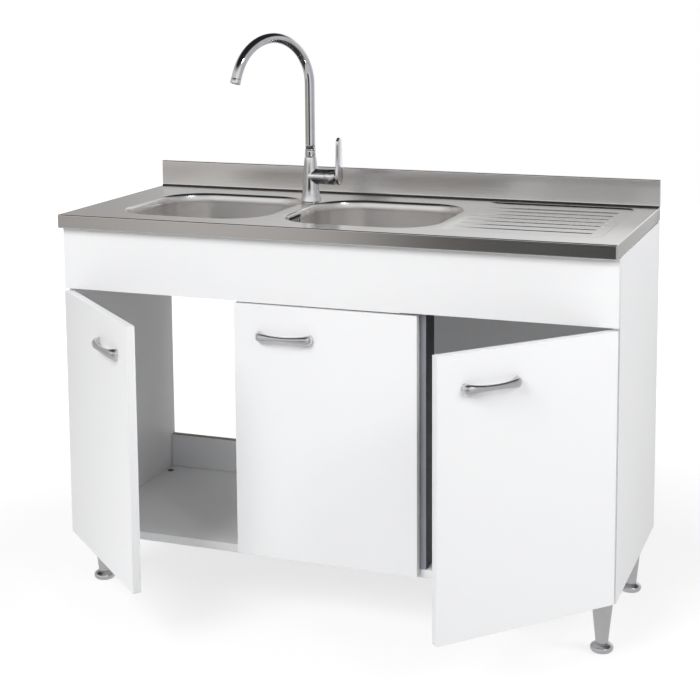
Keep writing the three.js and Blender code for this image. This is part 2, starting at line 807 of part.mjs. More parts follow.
function bonnetGeometry() {
  const [start, end] = [bonnetEnd - bonnetLength, bonnetEnd];
  const bore = hubRadius + runningGap;
  const sleeve = turned([
    [bore, start],
    [bonnetRadius, start],
    [bonnetRadius, end - bonnetBevel],
    [bonnetRadius - bonnetBevel, end],
    [bore, end],
    [bore, start],
  ]);
  return alongX(sleeve).translate(0, 0, tapAxisHeight);
}

function hubGeometry() {
  const hub = rod(hubRadius, branchLength - hubDepth, bonnetEnd + hubLength);
  return alongX(hub).translate(0, 0, tapAxisHeight);
}

function leverGeometry() {
  const outline = new THREE.Shape();
  const tipRadius = leverTipWidth / 2;
  outline.absarc(0, 0, leverBossRadius, Math.PI, 2 * Math.PI);
  outline.lineTo(leverFootWidth / 2, leverBossRadius);
  outline.lineTo(tipRadius, leverRise - tipRadius);
  outline.absarc(0, leverRise - tipRadius, tipRadius, 0, Math.PI);
  outline.lineTo(-leverFootWidth / 2, leverBossRadius);
  const paddle = prism(outline, leverThickness);
  paddle.rotateX(Math.PI / 2).rotateZ(Math.PI / 2);
  return paddle.translate(bonnetEnd + hubLength + seatGap, 0, tapAxisHeight);
}

function tapNutGeometry() {
  const top = -sheet - 2 * seatGap;
  const low = top - tapNutHeight;
  const hole = rod(shankRadius + runningGap, low - overrun, top + overrun);
  return cut(rod(tapNutRadius, low, top, nutSides), hole);
}

// The spout's centre line: up, over the arch and on down in a short straight.
function spoutPath(low) {
  const archStart = tapBodyHeight + collarHeight + spoutRise;
  const path = new THREE.CurvePath();
  const up = (s, z) => new THREE.Vector3(0, -s, z);
  path.add(new THREE.LineCurve3(up(0, low), up(0, archStart)));
  const sweep = Math.PI - degrees(spoutDip);
  const arc = new THREE.Curve();
  arc.getPoint = (share) => {
    const [along, rise] = [1 - Math.cos(share * sweep), Math.sin(share * sweep)];
    return up(spoutArch * along, archStart + spoutArch * rise);
  };
  path.add(arc);
  const end = arc.getPoint(1);
  const dip = degrees(spoutDip);
  const tail = new THREE.Vector3(0, -Math.sin(dip) * spoutTail, -Math.cos(dip) * spoutTail).add(end);
  path.add(new THREE.LineCurve3(end, tail));
  return { path, tail, dip };
}

function tubeAlong(path, radius, steps) {
  const section = new THREE.Shape().absarc(0, 0, radius, 0, 2 * Math.PI);
  return new THREE.ExtrudeGeometry(section, { steps, extrudePath: path, curveSegments: smallSides / 2 });
}

// The swan neck, its collar on the tap's body and the spigot that turns in the body.
function spoutGeometry() {
  const low = tapBodyHeight + seatGap;
  const top = low + collarHeight;
  const collar = turned([[0, low], [collarRadius + collarFlare, low], [collarRadius, top], [0, top]]);
  const neck = tubeAlong(spoutPath(top - overrun).path, spoutRadius, tubeSteps);
  const spigot = rod(spigotRadius, tapBodyHeight - spigotLength, low + overrun, smallSides);
  return join(neck, collar, spigot);
}

function aeratorGeometry() {
  const { tail, dip } = spoutPath(tapBodyHeight + collarHeight);
  const mouth = turned([
    [0, aeratorLip / 2 - aeratorLength],
    [aeratorRadius - aeratorLip, aeratorLip / 2 - aeratorLength],
    [aeratorRadius - aeratorLip, -aeratorLength],
    [aeratorRadius, -aeratorLength],
    [aeratorRadius, -seatGap],
    [0, -seatGap],
  ], smallSides);
  return mouth.rotateX(-dip).translate(tail.x, tail.y, tail.z);
}

function addTap() {
  const frame = new THREE.Group();
  frame.position.set(tapX, tapSetback, sinkTop + seatGap);
  frame.add(
    named("tap_body", tapBodyGeometry(), polishedChrome),
    named("cartridge_bonnet", bonnetGeometry(), polishedChrome),
    named("lever_hub", hubGeometry(), polishedChrome),
    named("lever", leverGeometry(), polishedChrome),
    named("tap_nut", tapNutGeometry(), platedSteel),
  );
  const swivel = new THREE.Group();
  swivel.rotation.z = degrees(-spoutTurn);
  swivel.add(
    named("spout", spoutGeometry(), polishedChrome),
    named("aerator", aeratorGeometry(), polishedChrome),
  );
  frame.add(swivel);
  unit.add(frame);
}

addCarcass();
addPost();
addLegs();
addDoor("left", carcassLeft, 1, leftDoorAngle);
addDoor("middle", middleHingeX, -1, 0);
addDoor("right", carcassRight, -1, rightDoorAngle);
addSink();
addTap();

// The origin is on the floor, under the middle of the space that the unit takes with its doors ajar.
unit.updateMatrixWorld(true);
const middle = new THREE.Box3().setFromObject(unit, true).getCenter(new THREE.Vector3());
unit.position.set(-middle.x, -middle.y, 0);

export default unit;
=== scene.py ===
import json
from math import acos, asin, copysign, cos, hypot, pi, radians, sin
import bmesh
import bpy
from mathutils import Matrix, Vector


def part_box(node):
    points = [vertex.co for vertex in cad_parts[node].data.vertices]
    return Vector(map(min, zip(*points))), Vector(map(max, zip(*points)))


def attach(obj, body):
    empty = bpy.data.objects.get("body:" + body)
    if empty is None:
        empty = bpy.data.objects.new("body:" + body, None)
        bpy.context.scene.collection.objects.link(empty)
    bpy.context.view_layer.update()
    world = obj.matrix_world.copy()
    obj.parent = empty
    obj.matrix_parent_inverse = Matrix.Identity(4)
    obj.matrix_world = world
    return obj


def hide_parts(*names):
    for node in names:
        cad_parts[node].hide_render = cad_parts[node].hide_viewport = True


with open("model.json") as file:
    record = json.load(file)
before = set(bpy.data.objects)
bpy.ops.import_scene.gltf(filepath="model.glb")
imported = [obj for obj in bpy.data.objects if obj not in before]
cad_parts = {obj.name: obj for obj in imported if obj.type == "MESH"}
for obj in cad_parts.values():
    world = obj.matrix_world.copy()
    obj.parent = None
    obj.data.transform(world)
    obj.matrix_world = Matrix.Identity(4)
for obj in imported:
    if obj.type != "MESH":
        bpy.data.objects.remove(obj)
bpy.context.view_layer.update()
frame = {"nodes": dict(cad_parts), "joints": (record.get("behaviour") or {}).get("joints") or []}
nodes = frame["nodes"]
joints = {joint["name"]: joint for joint in frame["joints"]}
mm = 0.001
print("frame loaded with", len(nodes), "nodes")

# pieces are drawn in millimetres, from the floor under the middle of the sink's front edge
sinkLow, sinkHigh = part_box("sink_top")
sinkFrame = Matrix.Translation(((sinkLow.x + sinkHigh.x) / 2, sinkLow.y, 0)) @ Matrix.Scale(mm, 4)
still = Matrix.Identity(4)


def spot(x, y, z, *turns, base=sinkFrame):
    # a local frame at a point, turned by (degrees, axis) pairs
    place = base @ Matrix.Translation((x, y, z))
    for angle, axis in turns:
        place = place @ Matrix.Rotation(radians(angle), 4, axis)
    return place


class Value:  # a socket that takes part in sums
    def __init__(self, paint, socket):
        self.paint, self.socket = paint, socket

    def maths(self, operation, first, second):
        return self.paint.node("ShaderNodeMath", {"operation": operation}, {0: first, 1: second})

    def __add__(self, other):
        return self.maths("ADD", self, other)

    def __radd__(self, other):
        return self.maths("ADD", other, self)

    def __sub__(self, other):
        return self.maths("SUBTRACT", self, other)

    def __rsub__(self, other):
        return self.maths("SUBTRACT", other, self)

    def __mul__(self, other):
        return self.maths("MULTIPLY", self, other)

    def __rmul__(self, other):
        return self.maths("MULTIPLY", other, self)

    def __truediv__(self, other):
        return self.maths("DIVIDE", self, other)


class Paint:  # one material while it is being mixed
    def __init__(self, name, **constants):
        self.material = bpy.data.materials.new(name)
        self.material.use_nodes = True
        self.tree = self.material.node_tree
        self.shader = self.tree.nodes["Principled BSDF"]
        for socket, value in constants.items():
            self.shader.inputs[socket].default_value = value

    def node(self, kind, settings=None, sockets=None, output=0):
        made = self.tree.nodes.new(kind)
        for key, value in (settings or {}).items():
            if key == "stops":
                self.setStops(made.color_ramp, value)
            else:
                setattr(made, key, value)
        for key, value in (sockets or {}).items():
            if isinstance(value, Value):
                self.tree.links.new(value.socket, made.inputs[key])
            else:
                made.inputs[key].default_value = value
        return None if output is None else Value(self, made.outputs[output])

    def setStops(self, ramp, stops):
        while len(ramp.elements) < len(stops):
            ramp.elements.new(0.5)
        for element, (place, shade) in zip(ramp.elements, stops):
            element.position = place
            element.color = (*shade, 1) if isinstance(shade, tuple) else (shade, shade, shade, 1)

    def place(self):
        return self.node("ShaderNodeTexCoord", output="Object")

    def noise(self, scale, stretch=(1, 1, 1), detail=3.0, roughness=0.55):
        stretched = self.node("ShaderNodeMapping", sockets={"Vector": self.place(), "Scale": stretch})
        return self.node("ShaderNodeTexNoise", sockets={
            "Vector": stretched, "Scale": scale, "Detail": detail, "Roughness": roughness})

    def ramp(self, value, *stops):
        return self.node("ShaderNodeValToRGB", {"stops": stops}, {"Fac": value})

    def blend(self, share, low, high):
        colours = [shade if isinstance(shade, Value) else (*shade, 1) for shade in (low, high)]
        return self.node("ShaderNodeMix", {"data_type": "RGBA"}, {
            "Factor": share, 6: colours[0], 7: colours[1]}, output=2)

    def finish(self, tone, low, high, rough, roughness, relief, height):
        # the colour, the roughness and a fine relief, each driven by a pattern
        smooth, rougher = roughness
        links = {"Base Color": self.blend(tone, low, high), "Roughness": rough * (rougher - smooth) + smooth,
                 "Normal": self.node("ShaderNodeBump", sockets={"Height": relief, "Distance": height})}
        for socket, value in links.items():
            self.tree.links.new(value.socket, self.shader.inputs[socket])
        return self.material


def darker(shade, share):
    return [level * share for level in shade]


def melaminePaint(name, shade):
    board = {"cloud": 5, "peel": 900, "smear": 22, "roughness": (0.36, 0.5), "height": 0.02 * mm}
    paint = Paint(name, IOR=1.48)
    cloud, peel = paint.noise(board["cloud"], detail=2), paint.noise(board["peel"], detail=2)
    smear = paint.noise(board["smear"], stretch=(1, 1, 0.4))
    return paint.finish(cloud, darker(shade, 0.985), shade, smear, board["roughness"], peel, board["height"])


def edgePaint(name, shade):
    band = {"grain": 260, "roughness": (0.4, 0.54), "height": 0.03 * mm}
    paint = Paint(name, IOR=1.48)
    lines = paint.noise(band["grain"], stretch=(1, 1, 0.12), detail=2)
    return paint.finish(lines, darker(shade, 0.94), shade, lines, band["roughness"], lines, band["height"])


def coatedSteelPaint(name, low, high):
    coat = {"pebble": 1400, "cloud": 14, "roughness": (0.34, 0.54), "height": 0.05 * mm}
    paint = Paint(name, Metallic=0.25, IOR=1.5)
    pebble, cloud = paint.noise(coat["pebble"]), paint.noise(coat["cloud"])
    return paint.finish(cloud, low, high, pebble, coat["roughness"], pebble, coat["height"])


def brushedPaint(name, grain, low, high, roughness):
    # the grain runs along the axis whose stretch is small
    brush = {"fine": 900, "wide": 120, "cloud": 3.2, "height": 0.0025 * mm}
    paint = Paint(name, Metallic=1.0)
    fine = paint.noise(brush["fine"], stretch=grain, detail=4, roughness=0.7)
    wide, cloud = paint.noise(brush["wide"], stretch=grain, detail=2), paint.noise(brush["cloud"])
    tone = fine * 0.35 + wide * 0.25 + cloud * 0.4
    return paint.finish(tone, low, high, fine * 0.6 + cloud * 0.4, roughness, fine, brush["height"])


def chromePaint(name):
    chrome = {"bright": (0.82, 0.825, 0.835), "deep": (0.7, 0.705, 0.72), "smudge": 34, "ripple": 60,
              "roughness": (0.015, 0.045), "height": 0.004 * mm}
    paint = Paint(name, Metallic=1.0)
    smudge = paint.ramp(paint.noise(chrome["smudge"], detail=5), (0.42, 0.0), (0.72, 1.0))
    return paint.finish(smudge, chrome["bright"], chrome["deep"], smudge, chrome["roughness"],
                        paint.noise(chrome["ripple"], detail=1), chrome["height"])


def pebbledPaint(name, low, high, coat, **constants):
    paint = Paint(name, **constants)
    cloud, pebble = paint.noise(coat["cloud"]), paint.noise(coat["pebble"], detail=2)
    return paint.finish(cloud, low, high, cloud, coat["roughness"], pebble, coat["height"])


def satinPaint(name):
    satin = {"cloud": 60, "pebble": 1500, "roughness": (0.26, 0.34), "height": 0.02 * mm}
    return pebbledPaint(name, (0.66, 0.66, 0.67), (0.78, 0.78, 0.79), satin, Metallic=1.0)


def mouldedPaint(name, shade, roughness):
    mould = {"cloud": 45, "pebble": 1800, "roughness": (roughness, roughness + 0.1), "height": 0.03 * mm}
    return pebbledPaint(name, darker(shade, 0.9), shade, mould, IOR=1.46)


def zincPaint(name):
    zinc = {"spangle": 420.0, "cloud": 90, "roughness": (0.26, 0.38), "height": 0.02 * mm}
    paint = Paint(name, Metallic=1.0)
    spangle = paint.node("ShaderNodeTexVoronoi", sockets={
        "Vector": paint.place(), "Scale": zinc["spangle"]}, output="Distance")
    cloud = paint.noise(zinc["cloud"])
    return paint.finish(cloud, (0.42, 0.43, 0.45), (0.6, 0.61, 0.63), spangle, zinc["roughness"],
                        cloud, zinc["height"])


alongX, alongZ = (0.01, 1, 1), (1, 1, 0.02)
finishes = {
    "board": melaminePaint("whiteMelamine", (0.845, 0.848, 0.855)),
    "edge": edgePaint("edgeBand", (0.8, 0.803, 0.81)),
    # a dark grey-brown for the back boards' narrow sides
    "darkEdge": edgePaint("darkBackEdge", (0.24, 0.225, 0.21)),
    # one coat in two copies: a lighter one for the post's front, painted light, and a near-black one for its
    # sides, painted shade
    "post": coatedSteelPaint("coatedSteelPaintedLight", (0.27, 0.278, 0.315), (0.33, 0.338, 0.38)),
    "postPaintedShade": coatedSteelPaint("coatedSteelPaintedShade", (0.014, 0.015, 0.018), (0.02, 0.021, 0.025)),
    "deck": brushedPaint("brushedDeck", alongX, (0.64, 0.63, 0.62), (0.74, 0.732, 0.725), (0.16, 0.23)),
    "splash": brushedPaint("brushedSplash", alongX, (0.68, 0.665, 0.65), (0.76, 0.75, 0.74), (0.22, 0.3)),
    "bowl": brushedPaint("satinBowl", alongZ, (0.72, 0.705, 0.69), (0.82, 0.81, 0.8), (0.22, 0.29)),
    "chrome": chromePaint("polishedChrome"),
    "polished": brushedPaint("turnedSteel", (1, 1, 1), (0.5, 0.49, 0.48), (0.66, 0.65, 0.64), (0.12, 0.22)),
    "satin": satinPaint("satinNickel"),
    "zinc": zincPaint("platedSteel"),
    "plastic": mouldedPaint("wastePlastic", (0.72, 0.72, 0.69), 0.45),
    "cap": mouldedPaint("capPlastic", (0.09, 0.09, 0.1), 0.4),
    "dark": mouldedPaint("darkRubber", (0.03, 0.03, 0.03), 0.6),
}
print("finishes mixed:", len(finishes))


# shapes: a skin is a list of points and a list of faces

def shade(piece, smoothUnder=38):
    for face in piece.data.polygons:
        face.use_smooth = True
    piece.data.set_sharp_from_angle(angle=radians(smoothUnder))
    return piece


def addObject(name, data):
    made = bpy.data.objects.new(name, data)
    bpy.context.scene.collection.objects.link(made)
    return made


def meshPiece(name, skin, paint, place=sinkFrame, smoothUnder=38):
    points, faces = skin
    mesh = bpy.data.meshes.new(name)
    mesh.from_pydata([place @ Vector(point) for point in points], [], faces)
    mesh.update()
    mesh.materials.append(finishes[paint])
    return shade(addObject(name, mesh), smoothUnder)


def ringSkin(rings, isClosed=False):
    # joins rings of equally many points; a ring of one point is a pole, and open ends get a flat cap
    points, faces, starts = [], [], []
    for ring in rings:
        starts.append(len(points))
        points += ring
    following = list(range(1, len(rings))) + ([0] if isClosed else [])
    for row, above in enumerate(following):
        count = max(len(rings[row]), len(rings[above]))
        for step in range(count):
            turn = (step + 1) % count
            low, high = ([starts[line] + at for at in ((step, turn) if len(rings[line]) > 1 else (0,))]
                         for line in (row, above))
            faces.append(low + high[::-1])
    if not isClosed:
        for ring, start, order in ((rings[0], starts[0], -1), (rings[-1], starts[-1], 1)):
            if len(ring) > 1:
                faces.append([start + step for step in range(len(ring))][::order])
    return points, faces


def openSkin(rings):
    # the same skin with no caps
    points, faces = ringSkin(rings)
    return points, faces[:-2]


def together(*skins):
    points, faces = [], []
    for somePoints, someFaces in skins:
        faces += [[corner + len(points) for corner in face] for face in someFaces]
        points += somePoints
    return points, faces


def moved(skin, place):
    return [place @ Vector(point) for point in skin[0]], skin[1]


def rounded(points, radius, steps=4, isLoop=False):
    # rounds the corners of an open profile, or of a loop, with small arcs
    made = []
    for index, point in enumerate(points):
        here = Vector(point)
        if not isLoop and index in (0, len(points) - 1):
            made.append(here)
            continue
        before, after = Vector(points[index - 1]), Vector(points[(index + 1) % len(points)])
        back, ahead = before - here, after - here
        reach = min(radius, back.length * 0.45, ahead.length * 0.45)
        start, end = here + back.normalized() * reach, here + ahead.normalized() * reach
        for step in range(steps + 1):
            share = step / steps
            made.append(start * (1 - share) ** 2 + here * 2 * share * (1 - share) + end * share ** 2)
    return made


def onCircle(radius, angle, height):
    return Vector((radius * cos(angle), radius * sin(angle), height))


def lathe(profile, sides=64, isClosed=False):
    # turns [radius, height] points about the Z axis; a point on the axis becomes a pole
    angles = [2 * pi * side / sides for side in range(sides)]
    rings = [[onCircle(radius, angle, height) for angle in (angles if radius > 0 else angles[:1])]
             for radius, height in profile]
    return ringSkin(rings, isClosed)


def roundedBox(halfX, halfY, corner, height, steps=10):
    ring = []
    for quarter in range(4):
        signX, signY = (1 if quarter in (0, 3) else -1), (1 if quarter < 2 else -1)
        for step in range(steps + 1):
            angle = (quarter + step / steps) * pi / 2
            ring.append(Vector((
                signX * (halfX - corner) + corner * cos(angle),
                signY * (halfY - corner) + corner * sin(angle), height)))
    return ring


def slab(halfX, halfY, corner, low, high, bevel=0.4):
    # a flat plate with rounded corners and soft edges
    sides = [(bevel, low), (0, low + bevel), (0, high - bevel), (bevel, high)]
    return ringSkin([roundedBox(halfX - inset, halfY - inset, corner - inset, height)
                     for inset, height in sides])


def screwHead(radius=3.3, rise=1.4):
    # a pan head with a cross recess, standing on z = 0
    arm, width, middle = radius * 0.62, radius * 0.2, radius * 0.4
    quadrant = [(arm, 0), (arm, width), (middle, width), (width, width), (width, middle), (width, arm)]
    cross = []
    for quarter in range(4):
        turn = Matrix.Rotation(quarter * pi / 2, 2)
        cross += [turn @ Vector(point) for point in quadrant]

    def circle(size, height):
        return [Vector((*(point.normalized() * size), height)) for point in cross]

    def recess(height):
        return [Vector((*point, height)) for point in cross]

    sides = ((1, 0), (1, 0.45), (0.9, 0.85), (0.72, 1))  # shares of the radius and the rise
    rings = [circle(radius * out, rise * up) for out, up in sides]
    return ringSkin(rings + [recess(rise), recess(rise * 0.25)])


def freeze(piece, smoothUnder=38):
    # bakes a piece's modifiers into its mesh
    evaluated = piece.evaluated_get(bpy.context.evaluated_depsgraph_get())
    mesh = bpy.data.meshes.new_from_object(evaluated)
    piece.modifiers.clear()
    piece.data = mesh
    return shade(piece, smoothUnder)


def combine(piece, tool, operation="DIFFERENCE"):
    # cuts a tool out of a piece, or adds it, and throws the tool away
    cut = piece.modifiers.new("combine", "BOOLEAN")
    cut.operation, cut.solver, cut.object = operation, "EXACT", tool
    freeze(piece)
    bpy.data.objects.remove(tool)
    return piece


def thicken(piece, thickness):
    wall = piece.modifiers.new("thicken", "SOLIDIFY")
    wall.thickness, wall.offset, wall.use_even_offset = thickness * mm, -1, True
    return freeze(piece)


def settle(piece, body, slot, *stoodFor):
    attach(piece, body)
    if stoodFor:
        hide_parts(*stoodFor)


def dress(name, skin, paint, place, body, slot, *stoodFor, smoothUnder=38):
    settle(meshPiece(name, skin, paint, place, smoothUnder), body, slot, *stoodFor)


# straight-edged solids keep their shape and get soft edges

def softCopy(node, paint, round=0.8 * mm):
    mesh = nodes[node].data.copy()
    mesh.materials.clear()
    mesh.materials.append(finishes[paint])
    skin = bmesh.new()
    skin.from_mesh(mesh)
    bmesh.ops.remove_doubles(skin, verts=skin.verts, dist=0.01 * mm)
    bmesh.ops.dissolve_limit(skin, angle_limit=radians(1), verts=skin.verts, edges=skin.edges)
    for face in skin.faces:
        face.smooth = True
    skin.to_mesh(mesh)
    skin.free()
    piece = addObject(node + "_soft", mesh)
    soften = piece.modifiers.new("soften", "BEVEL")
    soften.width, soften.segments, soften.limit_method = round, 3, "ANGLE"
    soften.angle_limit, soften.harden_normals = radians(40), True
    return piece


def boardCopy(node, edge="edge"):
    # the narrow sides of a board carry the edge band, and those of the back boards a dark grey-brown paint
    piece = softCopy(node, "board")
    piece.data.materials.append(finishes[edge])
    largest = max(face.area for face in piece.data.polygons)
    for face in piece.data.polygons:
        face.material_index = int(face.area < 0.4 * largest)
    return piece


boards = ("side_panel_left", "side_panel_right", "bottom_panel", "front_apron")
backBoards = ("lower_back_rail", "upper_back_rail", "back_panel")
for node in boards + backBoards:
    settle(boardCopy(node, "darkEdge" if node in backBoards else "edge"), "carcass", "white_board", node)

# the post's front carries a lighter copy of its paint, painted light, and its sides a near-black copy,
# painted shade
post = softCopy("hinge_post", "post", 1.2 * mm)
post.data.materials.append(finishes["postPaintedShade"])
for face in post.data.polygons:
    face.material_index = int(face.normal.y > -0.5)
settle(post, "carcass", "dark_steel", "hinge_post")

# the locks that pull the bottom panel to the sides show as small caps
caps = {"profile": [(0, -0.2), (7.6, -0.2), (7.6, 1.3), (0, 1.3)], "round": 0.6, "top": 147,
        "x": (-566, 572), "y": (96, 429)}
capSkin = lathe(rounded(caps["profile"], caps["round"]), 32)
for column, x in enumerate(caps["x"]):
    for row, y in enumerate(caps["y"]):
        dress(f"lock_cap_{column}_{row}", capSkin, "cap", spot(x, y, caps["top"]), "carcass", "dark_steel")
print("carcass dressed")

# doors: each has a frame at its outer front hinge corner, from its own joint
door = {
    "gap": 0.3, "thickness": 18, "handleMiddle": 284.75, "handleHeight": 474, "handleLength": 126.5,
    "handleReach": 20, "handleThickness": 9, "handleFoot": 15, "handleEnd": 21.5, "handleWaist": 11.5,
    "squareness": 3, "handleSteps": 56, "handleSides": 24,
    # the cup's levels are from the door's inner face, and a wing has two half sizes and a corner
    "cupCentre": 22, "cupHeights": {"upper": 445, "lower": 95}, "cupRadius": 17.5, "cupFloor": (-14.1, -13),
    "flange": (0.3, 1.3), "wing": (7.5, 10.5, 6), "wingSpread": 15.5, "cupScrews": 21.5,
    "smallScrew": (2.9, 1.2), "plate": 2.5, "plateScrews": (11.5, (-16, 16)), "armScrews": (9, 26),
}


def doorFrame(name):
    joint = joints[f"door_{name}_swing"]
    pivot, axis = Vector(joint["pos_m"]), Vector(joint["axis"])
    low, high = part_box("door_" + name)
    turn = Matrix.Rotation(-radians(joint["range_deg"][0]), 4, axis)
    return Matrix.Translation((pivot.x, pivot.y, low.z)) @ turn @ Matrix.Scale(mm, 4), -axis.z


def handleSkin():
    half = (door["handleLength"] - door["handleFoot"]) / 2
    reach = door["handleReach"] - door["handleThickness"] / 2
    power = 2 / door["squareness"]

    def lineAt(angle):
        across, out = cos(angle), sin(angle)
        return Vector((copysign(half * abs(across) ** power, across),
                       copysign(reach * abs(out) ** power, out)))

    rings = []
    for step in range(door["handleSteps"] + 1):
        angle = step / door["handleSteps"] * pi
        middle = lineAt(angle)
        ahead = (lineAt(angle + 0.01) - lineAt(angle - 0.01)).normalized()
        isFoot = step in (0, door["handleSteps"])
        normal = Vector((copysign(1, middle.x), 0)) if isFoot else Vector((ahead.y, -ahead.x))
        share = abs(middle.x / half) ** 2
        thick = door["handleThickness"] + (door["handleFoot"] - door["handleThickness"]) * share ** 2
        high = door["handleWaist"] + (door["handleEnd"] - door["handleWaist"]) * share
        ring = []
        for side in range(door["handleSides"]):
            around = side / door["handleSides"] * 2 * pi
            flat = middle + normal * thick / 2 * cos(around)
            ring.append(Vector((flat.x, -flat.y, high / 2 * sin(around))))
        rings.append(ring)
    return ringSkin(rings)


def pair(skin, spread, height=0):
    # two copies of a skin, above and below a hinge's middle
    return [moved(skin, Matrix.Translation((0, sign * spread, height))) for sign in (-1, 1)]


def cupSkin():
    # a pressed cup with a flange, in a frame whose Z axis looks out of the door's inner face
    radius, (under, floor), (low, high) = door["cupRadius"], door["cupFloor"], door["flange"]
    shell = rounded([
        (radius - 1.2, floor), (radius - 1.2, 0.9), (radius - 0.6, high), (radius + 1, high),
        (radius + 1, low), (radius - 0.1, low), (radius - 0.1, under), (0.01, under), (0.01, floor)],
        0.5, 3, isLoop=True)
    wings = pair(slab(*door["wing"], low, high), door["wingSpread"])
    return together(lathe(shell[::-1], 48, isClosed=True), *wings)


def armScrewSkin(arm, side):
    # the plate's two screws and the arm's two adjusting screws look into the cabinet
    (left, front, bottom), (right, back, top) = (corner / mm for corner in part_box(arm))
    inward, middle = (-1 if side < 0 else 1), (bottom + top) / 2
    wall, face = ((left, right) if inward > 0 else (right, left))
    inset, drops = door["plateScrews"]
    places = [(wall + inward * door["plate"], back - inset, middle + drop) for drop in drops]
    places += [(face, front + along, middle) for along in door["armScrews"]]
    head = screwHead(*door["smallScrew"])
    return together(*(moved(head, spot(*place, (inward * 90, "Y"), base=still)) for place in places))


for name in ("left", "middle", "right"):
    frameAt, side = doorFrame(name)
    body = "door_" + name
    settle(boardCopy(body), body, "white_board", body)
    place = spot(side * door["handleMiddle"], -door["gap"], door["handleHeight"], base=frameAt)
    dress("bow_handle_" + name, handleSkin(), "satin", place, body, "satin_nickel", "handle_" + name,
          smoothUnder=60)
    for level, height in door["cupHeights"].items():
        hinge = f"{name}_{level}"
        link, arm = "hinge_link_" + hinge, "hinge_arm_" + hinge
        place = spot(side * door["cupCentre"], door["thickness"], height, (-90, "X"), base=frameAt)
        dress("cup_" + hinge, cupSkin(), "zinc", place, body, "plated_steel", "hinge_cup_" + hinge)
        heads = pair(screwHead(), door["cupScrews"], door["flange"][1])
        dress("cup_screws_" + hinge, together(*heads), "zinc", place, body, "plated_steel")
        settle(softCopy(link, "zinc", 0.4 * mm), "links_" + name, "plated_steel", link)
        settle(softCopy(arm, "zinc", 0.5 * mm), "carcass", "plated_steel", arm)
        screws = armScrewSkin(arm, side)
        dress("arm_screws_" + hinge, screws, "zinc", Matrix.Scale(mm, 4), "carcass", "plated_steel")
print("doors, handles and hinges dressed")

# legs and screw feet
leg = {
    "height": 128.7, "foot": 17, "gap": 0.3, "top": 24.3, "neck": 12.6, "bun": 23.2, "stem": 5, "stemTop": 47,
    "socket": 5.4, "plate": 3,
}


def coneProfile():
    top, neck, foot, socket = leg["top"], leg["neck"], leg["foot"], leg["socket"]
    inside, under, plate = leg["stemTop"] + 0.6, foot + leg["gap"], leg["height"] - leg["plate"]
    return [(0, inside), (socket, inside), (socket, under), (neck - 0.8, under), (neck, foot + 1.4),
            (neck + 0.3, foot + 5), (18.5, 76), (21.9, 108), (top - 0.7, plate - 1.2), (top - 1.2, plate),
            (top - 0.3, plate + 0.5), (top, leg["height"]), (0, leg["height"])]


def bunProfile():
    foot, stem, stemTop = leg["foot"], leg["stem"], leg["stemTop"]
    return [(0, 0), (18.4, 0), (19.6, 0.5), (20.8, 1.5), (22.2, 3.6), (23, 5.8), (leg["bun"], 7.6),
            (22.9, 9.8), (21.8, 12), (19.6, 13.9), (16.8, 15.2), (14.4, 16), (13, 16.5),
            (leg["neck"] - 0.6, foot), (stem, foot), (stem, stemTop), (0, stemTop)]


for end in [f"{row}_{column}" for row in ("front", "back") for column in ("left", "middle", "right")]:
    low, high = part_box("foot_" + end)
    place = Matrix.Translation(((low.x + high.x) / 2, (low.y + high.y) / 2, 0)) @ Matrix.Scale(mm, 4)
    for name, profile, body, node, angle in (
            ("leg_cone_", coneProfile(), "carcass", "leg_" + end, 30),
            ("foot_bun_", bunProfile(), "foot_" + end, "foot_" + end, 40)):
        dress(name + end, lathe(profile, 72), "satin", place, body, "satin_nickel", node, smoothUnder=angle)
print("legs and feet dressed")

# the pressed steel top: one sheet with rolled rims, lips round the bowls and a ribbed drainer
sink = {
    "halfWidth": 600, "depth": 500, "top": 843.6, "bottom": 814.6, "sheet": 1.2,
    "roll": 2.2, "corner": 3.2, "lip": 22, "support": 1.5,
    "bowlX": (-334.5, 41.5), "bowlY": 227.5, "bowlHalf": (165.5, 163.5), "bowlCorner": 90,
    "lipOut": 7, "lipDrop": 22, "lipSeam": 5, "tapX": -146.5, "tapY": 326, "tapHole": 13.5,
    "trayX": (225, 555), "trayY": (68, 459), "trayCorner": 22, "trayDepth": (2, 1.9), "trayWall": 2,
    "trayEntry": 30, "ribs": 7, "ribFirst": 124, "ribPitch": 45, "ribHalf": 9, "ribRise": 1.5,
    "ribX": (232, 533), "ribFade": 70, "ribSlope": 1.15,
    "splashTop": 903.6, "splashFront": 489, "splashReturn": 24, "splashEnd": 20, "fold": (2.4, 5),
    "fillet": 5,
}


def clampShare(value):
    share = min(max(value, 0), 1)
    return share * share * (3 - 2 * share)


def trayHeight(x, y):
    (left, right), (front, back), corner = sink["trayX"], sink["trayY"], sink["trayCorner"]
    outX = abs(x - (left + right) / 2) - (right - left) / 2 + corner
    outY = abs(y - (front + back) / 2) - (back - front) / 2 + corner
    inside = corner - hypot(max(outX, 0), max(outY, 0)) - min(max(outX, outY), 0)
    deep, shallow = sink["trayDepth"]
    depth = deep + (shallow - deep) * (x - left) / (right - left)
    start, end = sink["ribX"][0] + sink["ribHalf"], sink["ribX"][1] - sink["ribHalf"]
    rise = 0
    for rib in range(sink["ribs"]):
        away = hypot(x - min(max(x, start), end), y - sink["ribFirst"] - rib * sink["ribPitch"])
        if away < sink["ribHalf"]:
            fade = clampShare((x - sink["ribX"][0]) / sink["ribFade"])
            rise = sink["ribRise"] * fade * clampShare(sink["ribSlope"] * (1 - away / sink["ribHalf"]))
    wall = clampShare(inside / sink["trayWall"]) * clampShare((x - left) / sink["trayEntry"])
    return sink["top"] - depth * wall + rise


def trayLines(low, high, middles):
    margin = sink["support"]
    edge = [-margin, 0, 0.7, 1.4, 2.1, 2.8, 3.5, 4.3, 5.2, 8, 12, 17, sink["trayCorner"]]
    lines = [low + step for step in edge] + [high - step for step in edge] + middles
    return sorted(set(round(line, 3) for line in lines))


